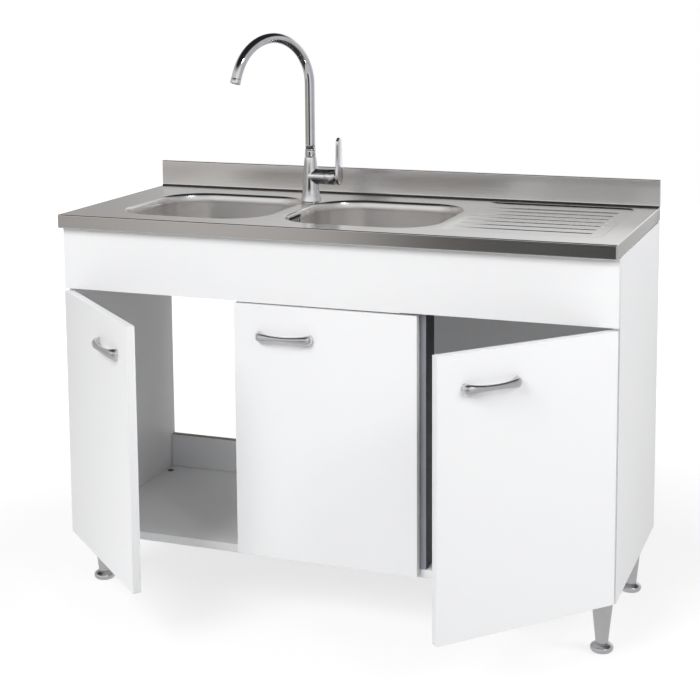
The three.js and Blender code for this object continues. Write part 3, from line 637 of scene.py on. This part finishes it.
def traySkin():
    (left, right), (front, back) = sink["trayX"], sink["trayY"]
    ends, parts = [0, 1.5, 3, 4.5, 6, 8, 10.5, 14], 9
    start, end = sink["ribX"]
    across = [start + step for step in ends] + [end - step for step in ends]
    across += [start + ends[-1] + (end - start - 2 * ends[-1]) * part / parts for part in range(1, parts)]
    along = []
    for rib in range(sink["ribs"]):
        middle = sink["ribFirst"] + rib * sink["ribPitch"]
        along += [middle + step * way for step in (0, 1.5, 3, 4.5, 6, 7.5, 9, 11, 15) for way in (-1, 1)]
    columns, rows = trayLines(left, right, across), trayLines(front, back, along)
    reach = sink["trayCorner"] + sink["support"]
    points = []
    for y in rows:
        for x in columns:
            # the grid's square corners are drawn in to the tray's round ones
            nearX = min(max(x, columns[0] + reach), columns[-1] - reach)
            nearY = min(max(y, rows[0] + reach), rows[-1] - reach)
            outX, outY = x - nearX, y - nearY
            if outX and outY:
                pull = max(abs(outX), abs(outY)) / hypot(outX, outY)
                outX, outY = outX * pull, outY * pull
            points.append(Vector((nearX + outX, nearY + outY, trayHeight(nearX + outX, nearY + outY))))
    wide = len(columns)
    corners = [row * wide + column for row in range(len(rows) - 1) for column in range(wide - 1)]
    return points, [[corner, corner + 1, corner + wide + 1, corner + wide] for corner in corners]


quarterTurn = [step / 6 * pi / 2 for step in range(7)]


def deckRing(inset, height):
    corner = max(sink["corner"] - inset, 0.3)
    ring = roundedBox(sink["halfWidth"] - inset, sink["depth"] / 2 - inset, corner, height, 5)
    return [point + Vector((0, sink["depth"] / 2, 0)) for point in ring]


def rimSkin():
    # from the hidden lip under the rim, up the skirt and over the roll to the flat deck
    roll, top, bottom = sink["roll"], sink["top"], sink["bottom"]
    profile = [(sink["lip"], bottom), (1.8, bottom), (0.9, bottom + 0.25), (0.25, bottom + 0.9),
               (0, bottom + 1.8), (0, bottom + 2.3), (0, top - roll - 0.5)]
    profile += [(roll - roll * cos(angle), top - roll + roll * sin(angle)) for angle in quarterTurn]
    profile += [(roll + 0.5, top), (roll + sink["support"], top)]
    return openSkin([deckRing(inset, height) for inset, height in profile])


def bowlRing(x, out, height, steps=14):
    halfX, halfY = sink["bowlHalf"]
    ring = roundedBox(halfX + out, halfY + out, sink["bowlCorner"] + out, height, steps)
    return [point + Vector((x, sink["bowlY"], 0)) for point in ring]


def lipCurve(start, end, steps):
    # the quarter ellipse that turns the deck down into a bowl, between two depths
    low, high = [acos(1 - depth / sink["lipDrop"]) for depth in (start, end)]
    angles = [low + (high - low) * step / steps for step in range(steps + 1)]
    return [(sink["lipOut"] * (1 - sin(angle)), sink["top"] - sink["lipDrop"] * (1 - cos(angle)))
            for angle in angles]


def lipSkin(x):
    profile = [(sink["lipOut"] + sink["support"], sink["top"])] + lipCurve(0, sink["lipSeam"], 10)
    return openSkin([bowlRing(x, inset, height) for inset, height in profile])


def tapHoleSkin():
    radius, top = sink["tapHole"], sink["top"]
    profile = [(radius + 3, top), (radius + 0.4, top), (radius, top - 0.4)]
    middle = Matrix.Translation((sink["tapX"], sink["tapY"], 0))
    rings = [roundedBox(size, size, size * 0.999, height, 8) for size, height in profile]
    return moved(openSkin(rings), middle)


def fillFlat(skin):
    # fills the flat deck between all the open edges at its height
    points, faces = skin
    sheet = bmesh.new()
    corners = [sheet.verts.new(point) for point in points]
    for face in faces:
        sheet.faces.new([corners[corner] for corner in face])
    sheet.edges.ensure_lookup_table()
    rims = [edge for edge in sheet.edges if edge.is_boundary
            and all(abs(corner.co.z - sink["top"]) < 0.001 for corner in edge.verts)]
    made = bmesh.ops.triangle_fill(sheet, edges=rims, use_beauty=True, normal=(0, 0, 1))
    for face in made["geom"]:
        if isinstance(face, bmesh.types.BMFace) and face.normal.z < 0:
            face.normal_flip()
    sheet.verts.index_update()
    points = [corner.co.copy() for corner in sheet.verts]
    faces = [[corner.index for corner in face.verts] for face in sheet.faces]
    sheet.free()
    return points, faces


lips = [lipSkin(x) for x in sink["bowlX"]]
deckSkin = fillFlat(together(rimSkin(), traySkin(), tapHoleSkin(), *lips))
deckPiece = thicken(meshPiece("pressed_deck", deckSkin, "deck", smoothUnder=50), sink["sheet"])
settle(shade(deckPiece, 50), "carcass", "brushed_steel", "sink_top")


def splashSkin():
    # the folded sheet behind the deck, its ends closed by small plates
    front, back, top, base = sink["splashFront"], sink["depth"], sink["splashTop"], sink["top"] - 0.6
    wall, fillet, cap = sink["sheet"], sink["fillet"], sink["splashEnd"]
    outline = [(front - fillet, base)]
    outline += [(front - fillet + fillet * sin(angle), base + 0.6 + fillet - fillet * cos(angle))
                for angle in quarterTurn]
    over = [(front, top - cap), (front, top), (back, top)]
    outer = outline + rounded(over + [(back, top - sink["splashReturn"])], *sink["fold"])
    inner = rounded([(back - wall, top - sink["splashReturn"]), (back - wall, top - wall),
                     (front + wall, top - wall), (front + wall, base), (front + wall - 0.4, base)], 1.2, 3)
    end, half = sink["halfWidth"] - wall, sink["halfWidth"]
    sheetRings = [[Vector((x, y, z)) for y, z in outer + inner] for x in (-end, end)]
    plate = outline + rounded(over + [(back, top - cap)], *sink["fold"]) + [Vector((back, base))]
    plates = []
    for low, high in ((-half, -end + 0.001), (end - 0.001, half)):
        plates.append(ringSkin([[Vector((x, y, z)) for y, z in plate] for x in (low, high)]))
    return together(ringSkin(sheetRings), *plates)


dress("splashback", splashSkin(), "splash", sinkFrame, "carcass", "brushed_steel", "sink_top", smoothUnder=50)
print("sink top pressed")

# bowls with a round foot and a floor that falls to the waste
bowl = {
    "floor": 693.6, "foot": 30, "taper": 14, "fall": 3, "waste": 44.3, "footSteps": 8, "floorSteps": 9,
    "slots": 5, "slotPitch": 12, "slotWidth": 5, "slotHeight": 17, "slotDrop": 16, "slotShift": -48,
    "slotReach": (-8, 12),
    # the overflow housing's half sizes, corner, two levels and bevel
    "housing": (14, 33, 4, -1, 14, 1), "housingOut": 1.6, "housingDrop": 5,
}


def bowlInside(x):
    halfX, halfY = sink["bowlHalf"]
    lipHeight = sink["top"] - sink["lipDrop"]
    footHeight = bowl["floor"] + bowl["fall"] + bowl["foot"]
    lean = bowl["taper"] * (lipHeight - footHeight) / (lipHeight - bowl["floor"])
    profile = [(-out, height) for out, height in lipCurve(sink["lipSeam"] - 0.05, sink["lipDrop"], 10)]
    profile += [(lean / 2, (lipHeight + footHeight) / 2), (lean, footHeight)]
    for step in range(1, bowl["footSteps"] + 1):
        angle, foot = step / bowl["footSteps"] * pi / 2, bowl["foot"]
        profile.append((lean + foot * (1 - cos(angle)), footHeight - foot * sin(angle)))
    rings = []
    for inward, height in profile:
        corner = max(sink["bowlCorner"] - inward, 30)
        rings.append(roundedBox(halfX - inward, halfY - inward, corner, height, 14))
    edge = rings[-1]
    for step in range(1, bowl["floorSteps"] + 1):
        share = step / bowl["floorSteps"]
        height = bowl["floor"] + bowl["fall"] * (1 - share)
        ring = []
        for point in edge:
            flat = Vector((point.x, point.y, 0))
            target = flat.normalized() * bowl["waste"]
            here = flat.lerp(target, share)
            ring.append(Vector((here.x, here.y, height)))
        rings.append(ring)
    return moved(openSkin(rings), Matrix.Translation((x, sink["bowlY"], 0)))


def slotCutters(x):
    wall, height = x - sink["bowlHalf"][0], sink["top"] - bowl["slotDrop"]
    cutters = []
    for slot in range(bowl["slots"]):
        y = sink["bowlY"] + bowl["slotShift"] + (slot - (bowl["slots"] - 1) / 2) * bowl["slotPitch"]
        half = bowl["slotWidth"] / 2
        skin = slab(bowl["slotHeight"] / 2, half, half - 0.01, *bowl["slotReach"], 0)
        cutters.append(moved(skin, spot(wall, y, height, (90, "Y"), base=still)))
    return together(*cutters)


for side, x in zip(("left", "right"), sink["bowlX"]):
    piece = thicken(meshPiece("pressed_bowl_" + side, bowlInside(x), "bowl"), sink["sheet"])
    if side == "right":
        combine(piece, meshPiece("slot_cutters", slotCutters(x), "dark"))
        place = spot(x - sink["bowlHalf"][0] - bowl["housingOut"], sink["bowlY"] + bowl["slotShift"],
                     sink["top"] - bowl["slotDrop"] - bowl["housingDrop"], (-90, "Y"))
        dress("overflow_housing", slab(*bowl["housing"]), "dark", place, "carcass", "waste_plastic")
    settle(piece, "carcass", "brushed_steel", "bowl_" + side)
print("bowls pressed")

# wastes, their nuts and the lift-out strainers
waste = {
    "seat": 693.9, "hole": 44, "flange": 56, "cup": 26, "wall": 2, "tail": 20, "tailLength": 18,
    "nutTop": 692.1, "nut": (44.4, 53.3), "nutHeight": 10, "nutGrips": 24, "nutDip": 2,
    "basket": 38, "rim": 45, "basketTop": 697.4, "basketDepth": 18, "sheet": 1.2, "knob": 7, "knobHeight": 16,
    "floorHoles": ((14, 8), (22, 13), (30, 18)), "holeRadius": 1.9, "wallHoles": 26, "wallHoleDrop": 8,
}


def wasteSkin():
    seat, wall, hole, flange, tail = (waste[part] for part in ("seat", "wall", "hole", "flange", "tail"))
    neck, cup, inside = tail - wall, seat - waste["cup"], hole - wall
    end = cup - waste["tailLength"]
    outline = rounded([
        (neck, end), (tail, end), (tail, cup - wall), (inside, cup - wall), (hole, cup), (hole, seat),
        (flange, seat), (flange - wall, seat + wall), (inside, seat + wall), (inside, cup + wall),
        (neck, cup)], 1.6, 4, isLoop=True)
    return lathe(outline, 96, isClosed=True)


def wasteNutSkin():
    # a moulded ring nut with grips round its rim
    (inner, outer), dip, parts = waste["nut"], waste["nutDip"], 6
    top, low, sides = waste["nutTop"], waste["nutTop"] - waste["nutHeight"], waste["nutGrips"] * parts
    section = rounded([(inner, low), (outer, low), (outer, top), (inner, top)], 1, 3, isLoop=True)
    rings = []
    for radius, height in section:
        ring = []
        for side in range(sides):
            isDip = radius > inner + dip and side % parts < 2
            angle, reach = side / sides * 2 * pi, radius - dip * isDip
            ring.append(onCircle(reach, angle, height))
        rings.append(ring)
    return ringSkin(rings, isClosed=True)


def basketSkin():
    top, floor = waste["basketTop"], waste["basketTop"] - waste["basketDepth"]
    rim, radius, knob, wall = waste["rim"], waste["basket"], waste["knob"], waste["sheet"]
    knobTop = floor + waste["knobHeight"] + wall
    outline = rounded([
        (0, floor), (radius - 3, floor), (radius, floor + 4), (radius, top - wall), (rim, top - wall),
        (rim, top), (radius - wall, top), (radius - wall, floor + 4.5), (radius - 4, floor + wall),
        (knob / 2, floor + wall), (knob / 2, knobTop - 7), (knob, knobTop - 4), (knob, knobTop - 1),
        (0, knobTop)], 1.2, 3)
    return lathe(outline, 96)


def basketHoles():
    peg = rounded([(0, -3), (waste["holeRadius"], -3), (waste["holeRadius"], 3), (0, 3)], 0.01, 1)
    pegs, floor = [], waste["basketTop"] - waste["basketDepth"]
    for radius, count in waste["floorHoles"]:
        for index in range(count):
            place = Matrix.Translation(onCircle(radius, index / count * 2 * pi, floor))
            pegs.append(moved(lathe(peg, 12), place))
    for index in range(waste["wallHoles"]):
        angle = index / waste["wallHoles"] * 360
        height = waste["basketTop"] - waste["wallHoleDrop"]
        place = spot(0, 0, height, (angle, "Z"), (90, "Y"), base=still)
        pegs.append(moved(lathe(peg, 12), place @ Matrix.Translation((0, 0, waste["basket"]))))
    return together(*pegs)


for side, x in zip(("left", "right"), sink["bowlX"]):
    middle = spot(x, sink["bowlY"], 0)
    dress("waste_cup_" + side, wasteSkin(), "polished", middle, "carcass", "brushed_steel", "waste_" + side)
    dress("ring_nut_" + side, wasteNutSkin(), "plastic", middle, "carcass", "waste_plastic",
          "waste_nut_" + side)
    basket = combine(meshPiece("strainer_" + side, basketSkin(), "polished", middle),
                     meshPiece("strainer_holes", basketHoles(), "polished", middle))
    settle(basket, "basket_" + side, "brushed_steel", "strainer_basket_" + side)
print("wastes and strainers dressed")

# the mixer tap: profiles are (radius, height) points on each piece's own axis
tap = {
    "base": 843.9, "axis": 60, "height": 105, "foot": 3, "head": 104, "shoulder": 13,
    "outline": [(22.2, 3.4), (22, 5), (21.1, 11), (20.2, 18), (19, 30), (17.9, 46), (16.9, 60), (15.8, 74),
                (14.6, 88), (13.4, 100)],
    "ring": [(0, 0), (22.6, 0), (23, 0.5), (23, 2.4), (22.5, 3.1), (0, 3.1)],
    "branch": 17, "branchLength": 40, "voxel": 0.75, "soften": 14,
    "shank": {"length": 45, "root": 11.2, "crest": 12, "turns": 28, "pitch": 1.5, "end": 11, "plain": 1.4},
    "bonnet": [(11.4, 40.3), (17.1, 40.3), (17.6, 40.9), (17.6, 43.2), (17, 43.7), (17, 44.2), (17.6, 44.7),
               (17.6, 58.2), (15.6, 60.3), (11.4, 60.3)],
    "hub": [(0, 34), (11, 34), (11, 63.7), (0, 63.7)],
    "neckRing": [(9.4, 105.3), (11.9, 105.3), (12.2, 105.7), (12.2, 107.2), (11.7, 107.6), (11.7, 108.1),
                 (12, 108.5), (11.8, 117.6), (11.4, 118), (11.4, 118.4), (11.8, 118.8), (11.7, 120.4),
                 (11.3, 120.8), (9.4, 120.8)],
    "aerator": [(0, -8.2), (9, -8.2), (9.3, -10), (10.8, -10), (11.2, -9.5), (11.2, -0.5), (10.9, -0.3),
                (0, -0.3)],
    "spout": 10.9, "collar": 15.5, "rise": 143, "arch": 106, "dip": 19, "tail": 12.5, "turn": 25.5,
    "lever": {"start": 64, "thick": 7, "boss": 17.5, "tip": 11.5, "rise": 88, "waist": 0.9},
}


def tapPlace(*turns):
    return spot(sink["tapX"], sink["tapY"], tap["base"], *turns)


axisPlace = spot(0, 0, tap["axis"], (90, "Y"), base=tapPlace())


def smoothLine(points, steps=4):
    # a Catmull-Rom line through profile points
    line = []
    ends = [points[0]] + list(points) + [points[-1]]
    for index in range(1, len(ends) - 2):
        a, b, c, d = (Vector(ends[index + shift]) for shift in (-1, 0, 1, 2))
        for step in range(steps):
            t = step / steps
            bend, twist = 2 * a - 5 * b + 4 * c - d, 3 * b - a - 3 * c + d
            line.append(0.5 * (2 * b + (c - a) * t + bend * t * t + twist * t ** 3))
    return line + [Vector(points[-1])]


def tapBody():
    # the column and its branch grow into each other, so they are joined, remeshed and softened
    foot, head, radius, reach = tap["foot"], tap["head"], tap["branch"], tap["branchLength"] - 0.4
    column = [Vector((0, foot)), Vector((tap["outline"][0][0], foot))] + smoothLine(tap["outline"])
    column += [Vector((tap["shoulder"] - 0.4, head)), Vector((0, head))]
    branch = rounded([(0, 0), (radius, 0), (radius, reach), (0, reach)], 0.8)
    body = meshPiece("tap_column", lathe(column, 96), "chrome", tapPlace())
    combine(body, meshPiece("tap_arm", lathe(branch, 96), "chrome", axisPlace), "UNION")
    blended = body.modifiers.new("blended", "REMESH")
    blended.mode, blended.voxel_size = "VOXEL", tap["voxel"] * mm
    soft = body.modifiers.new("soft", "SMOOTH")
    soft.factor, soft.iterations = 0.5, tap["soften"]
    return freeze(body, 180)


def shankSkin():
    shank = tap["shank"]
    root, crest, length, plain = shank["root"], shank["crest"], shank["length"], shank["plain"]
    line = [(0, -length), (shank["end"], -length)]
    for turn in range(shank["turns"]):
        line += [(root, 1 - length + turn * shank["pitch"]), (crest, 1.7 - length + turn * shank["pitch"])]
    return lathe([Vector(point) for point in line + [(root, -plain), (root, 0), (0, 0)]], 48)


settle(tapBody(), "carcass", "chrome", "tap_body")
dress("tap_base_ring", lathe(rounded(tap["ring"], 0.5), 96), "chrome", tapPlace(), "carcass", "chrome")
dress("tap_shank", shankSkin(), "zinc", tapPlace(), "carcass", "plated_steel")
settle(softCopy("tap_nut", "zinc", 0.6 * mm), "carcass", "plated_steel", "tap_nut")
bonnetSkin = lathe(rounded(tap["bonnet"], 0.5, 3, isLoop=True), 96, isClosed=True)
dress("bonnet_sleeve", bonnetSkin, "chrome", axisPlace, "carcass", "chrome", "cartridge_bonnet")
dress("hub_pin", lathe(rounded(tap["hub"], 0.4), 64), "chrome", axisPlace, "lever_hub", "chrome", "lever_hub")


def leverSkin():
    # a flat paddle: round boss, slightly waisted sides and a round tip, with soft edges
    shape = tap["lever"]
    span = shape["rise"] - shape["tip"]

    def arc(radius, height, start, sweep, steps):
        angles = [start + sweep * step / steps for step in range(steps + 1)]
        return [(radius * cos(angle), height + radius * sin(angle)) for angle in angles]

    def outlineAt(inset, across):
        boss, tip = shape["boss"] - inset, shape["tip"] - inset
        lean = asin((boss - tip) / span)

        def sideAt(step, way):
            share = step / 8
            wide = boss * cos(lean) * (1 - share) + tip * cos(lean) * share
            wide -= shape["waist"] * sin(share * pi)
            return way * wide, boss * sin(lean) + (span + (tip - boss) * sin(lean)) * share

        ring = arc(boss, 0, pi - lean, pi + 2 * lean, 24)
        ring += [sideAt(step, 1) for step in range(1, 8)] + arc(tip, span, lean, pi - 2 * lean, 16)
        ring += [sideAt(8 - step, -1) for step in range(1, 8)]
        return [Vector((across, y, z)) for y, z in ring]

    thick = shape["thick"]
    edge = [(2.2, 0), (1.2, 0.25), (0.45, 0.9), (0.1, 1.7), (0, 2.6)]
    layers = edge + [(inset, thick - depth) for inset, depth in edge[::-1]]
    return ringSkin([outlineAt(inset, shape["start"] + depth) for inset, depth in layers])


leverPlace = spot(0, 0, tap["axis"], base=tapPlace())
dress("lever_paddle", leverSkin(), "chrome", leverPlace, "lever", "chrome", "lever", smoothUnder=60)

# the swivelling spout: collar, swan neck and aerator
swivel = tapPlace((-tap["turn"], "Z"))
ringSide = rounded(tap["neckRing"], 0.25, 2, isLoop=True)
dress("neck_collar", lathe(ringSide, 96, isClosed=True), "chrome", swivel, "spout", "chrome", "spout")
archStart = tap["height"] + tap["collar"] + tap["rise"]


def spoutSkin():
    bevel, parts, bends, sides = 0.6, 12, 60, 40
    low, sweep = tap["height"] + tap["collar"] + bevel, pi - radians(tap["dip"])
    line = [(0, low, 0), (0, low + bevel, 0)]
    line += [(0, low + (archStart - low) * part / parts, 0) for part in range(1, parts)]
    for part in range(bends + 1):
        angle = part / bends * sweep
        line.append((tap["arch"] * (1 - cos(angle)), archStart + tap["arch"] * sin(angle), angle))
    out, height, angle = line[-1]
    for part in (0.3, 0.6, 0.97, 1):
        reach = part * tap["tail"]
        line.append((out + sin(angle) * reach, height + cos(angle) * reach, angle))
    rings = []
    for index, (out, height, angle) in enumerate(line):
        radius = tap["spout"] - (bevel if index in (0, len(line) - 1) else 0)
        ring = []
        for side in range(sides):
            around = side / sides * 2 * pi
            across, up = radius * cos(around), radius * sin(around)
            ring.append(Vector((across, up * cos(angle) - out, height + up * sin(angle))))
        rings.append(ring)
    return ringSkin(rings)


dress("swan_neck", spoutSkin(), "chrome", swivel, "spout", "chrome", "spout", smoothUnder=50)

# the aerator screws onto the neck's end
dip = radians(tap["dip"])
endOut = tap["arch"] * (1 + cos(dip)) + sin(pi - dip) * tap["tail"]
endHeight = archStart + tap["arch"] * sin(pi - dip) - cos(dip) * tap["tail"]
mouthPlace = spot(0, -endOut, endHeight, (-tap["dip"], "X"), base=swivel)
mouthSkin = lathe(rounded(tap["aerator"], 0.2, 2), 64)
dress("aerator_shell", mouthSkin, "chrome", mouthPlace, "spout", "chrome", "aerator")
bars = []
for turn in (0, 1):
    for step in range(-4, 5):
        place = Matrix.Rotation(turn * pi / 2, 4, "Z") @ Matrix.Translation((step * 1.6, 0, 0))
        bars.append(moved(slab(0.25, 7.6 - abs(step) * 0.3, 0.2, -8.9, -8.3, 0.1), place))
dress("aerator_grid", together(*bars), "plastic", mouthPlace, "spout", "waste_plastic")
print("mixer tap dressed")

# camera, floor and light
stage = {
    "cameraPlace": (1.1133, -2.9058, 1.3435), "heading": 20.5, "tilt": 7.6, "roll": -0.4,
    "lens": 78.4, "sensor": 36, "shift": -0.243, "sight": 200, "aim": (0, 0, 0.5),
    "floorX": (-5, 5), "floorY": (-2, 6), "floorShades": ((0.8, 0.8, 0.805), (0.82, 0.82, 0.825)),
    # each lamp's bearing, rise, size, power and whether mirrors see it
    "lamps": {"left": (-18, 37, 3.5, 350, False), "right": (85, 30, 3.5, 212, False),
              "slant": (51, 35, 0.7, 30, True)},
    "away": 7,
    "world": 0.34, "floorGlow": 1.2, "floorShare": 0.58, "floorNear": (0.9, 2.2), "floorMirror": 0.55,
    # what mirrors see by bearing, level and a little above: front 0, left 0.25, wall 0.5, right 0.75
    "low": ((0, 0.08), (0.043, 0.09), (0.053, (0.5, 0.48, 0.46)), (0.083, (0.6, 0.58, 0.56)),
            (0.13, (0.36, 0.345, 0.33)), (0.3, (0.36, 0.35, 0.34)), (0.42, (0.55, 0.54, 0.53)), (0.54, 1),
            (0.58, (0.62, 0.62, 0.65)), (0.75, (0.42, 0.42, 0.46)), (0.82, (0.45, 0.45, 0.49)), (0.87, 0.72),
            (0.93, 0.68), (0.965, 0.03)),
    "high": ((0, 0.95), (0.1, 0.95), (0.2, (0.62, 0.6, 0.58)), (0.418, (0.45, 0.44, 0.43)),
             (0.433, (0.66, 0.65, 0.64)), (0.458, (0.85, 0.85, 0.86)), (0.47, 1), (0.532, 1),
             (0.56, (0.98, 0.98, 1)), (0.59, (0.7, 0.69, 0.68)), (0.75, (0.5, 0.5, 0.53)), (0.88, 0.85)),
    "rise": ((0.5, 0), (0.55, 1)), "ceiling": ((0.69, 0), (0.81, 1)), "dark": (0.02, 0.02, 0.022),
}


def setCamera():
    camera = addObject("camera", bpy.data.cameras.new("camera"))
    facing = still
    for angle, axis in ((stage["heading"], "Z"), (90 - stage["tilt"], "X"), (stage["roll"], "Z")):
        facing = facing @ Matrix.Rotation(radians(angle), 4, axis)
    camera.matrix_world = Matrix.Translation(stage["cameraPlace"]) @ facing
    camera.data.sensor_width, camera.data.lens = stage["sensor"], stage["lens"]
    camera.data.shift_y, camera.data.clip_end = stage["shift"], stage["sight"]
    bpy.context.scene.camera = camera


def setLamp(name, bearing, rise, size, power, shines):
    light = bpy.data.lights.new(name, "AREA")
    light.size, light.energy = size, power
    made = addObject(name, light)
    made.visible_glossy = shines
    bearing, rise = radians(bearing), radians(rise)
    toward = Vector((sin(bearing) * cos(rise), -cos(bearing) * cos(rise), sin(rise)))
    made.location = Vector(stage["aim"]) + toward * stage["away"]
    made.rotation_euler = toward.to_track_quat("Z", "Y").to_euler()


class Studio(Paint):  # the world's nodes, or a stage material's, mixed in the same way
    def __init__(self, tree):
        self.tree = tree
        tree.nodes.clear()

    def seen(self):
        # 1 for what the camera, mirrors and glass see
        camera, mirror, glass = [self.node("ShaderNodeLightPath", output=ray) for ray in
                                 ("Is Camera Ray", "Is Glossy Ray", "Is Transmission Ray")]
        return glass.maths("MAXIMUM", camera.maths("MAXIMUM", camera, mirror), glass)


def setWorld():
    world = bpy.data.worlds.new("studio")
    bpy.context.scene.world = world
    world.use_nodes = True
    studio = Studio(world.node_tree)
    # mirrors see a room with dark and bright bays under a dark ceiling; the camera sees plain white
    direction = studio.node("ShaderNodeTexCoord", output="Generated")
    x, y, z = [studio.node("ShaderNodeSeparateXYZ", sockets={"Vector": direction}, output=axis)
               for axis in "XYZ"]
    bearing = x.maths("ARCTAN2", x, y) / (2 * pi) + 0.5
    height = z * 0.5 + 0.5
    low, high = studio.ramp(bearing, *stage["low"]), studio.ramp(bearing, *stage["high"])
    bays = studio.blend(studio.ramp(height, *stage["rise"]), low, high)
    room = studio.blend(studio.ramp(height, *stage["ceiling"]), bays, stage["dark"])
    camera = studio.node("ShaderNodeLightPath", output="Is Camera Ray")
    plain = studio.blend(studio.seen(), (stage["world"],) * 3, room)
    shown = studio.blend(camera, plain, (1, 1, 1))
    background = studio.node("ShaderNodeBackground", sockets={"Color": shown, "Strength": 1.0})
    studio.node("ShaderNodeOutputWorld", sockets={"Surface": background}, output=None)


def setFloor():
    (left, right), (front, back) = stage["floorX"], stage["floorY"]
    corners = [Vector((x, y, 0)) for x, y in ((left, front), (right, front), (right, back), (left, back))]
    floor = meshPiece("floor", (corners, [[0, 1, 2, 3]]), "board", still)
    material = bpy.data.materials.new("paleFloor")
    material.use_nodes = True
    paint = Studio(material.node_tree)
    grain = paint.noise(3, detail=2)
    lit = paint.node("ShaderNodeBsdfDiffuse", sockets={"Color": paint.blend(grain, *stage["floorShades"])})
    glow = paint.node("ShaderNodeEmission", sockets={"Color": (1, 1, 1, 1), "Strength": stage["floorGlow"]})
    # the floor fades to plain white away from the unit
    near, far = stage["floorNear"]
    place = paint.node("ShaderNodeTexCoord", output="Object")
    away = paint.node("ShaderNodeVectorMath", {"operation": "LENGTH"}, {0: place}, output="Value")
    fade = paint.ramp(away / far, (near / far, 0), (1, 1))
    share = paint.seen() * (fade * (1 - stage["floorShare"]) + stage["floorShare"])
    both = paint.node("ShaderNodeMixShader", sockets={"Fac": share, 1: lit, 2: glow})
    dim = paint.node("ShaderNodeEmission", sockets={"Color": (1, 1, 1, 1), "Strength": stage["floorMirror"]})
    mirror = paint.node("ShaderNodeLightPath", output="Is Glossy Ray")
    whole = paint.node("ShaderNodeMixShader", sockets={"Fac": mirror, 1: both, 2: dim})
    paint.node("ShaderNodeOutputMaterial", sockets={"Surface": whole}, output=None)
    floor.data.materials[0] = material


setCamera()
setWorld()
setFloor()
for name, lamp in stage["lamps"].items():
    setLamp(name, *lamp)
bpy.context.scene.view_settings.view_transform = "Standard"
print("stage set")
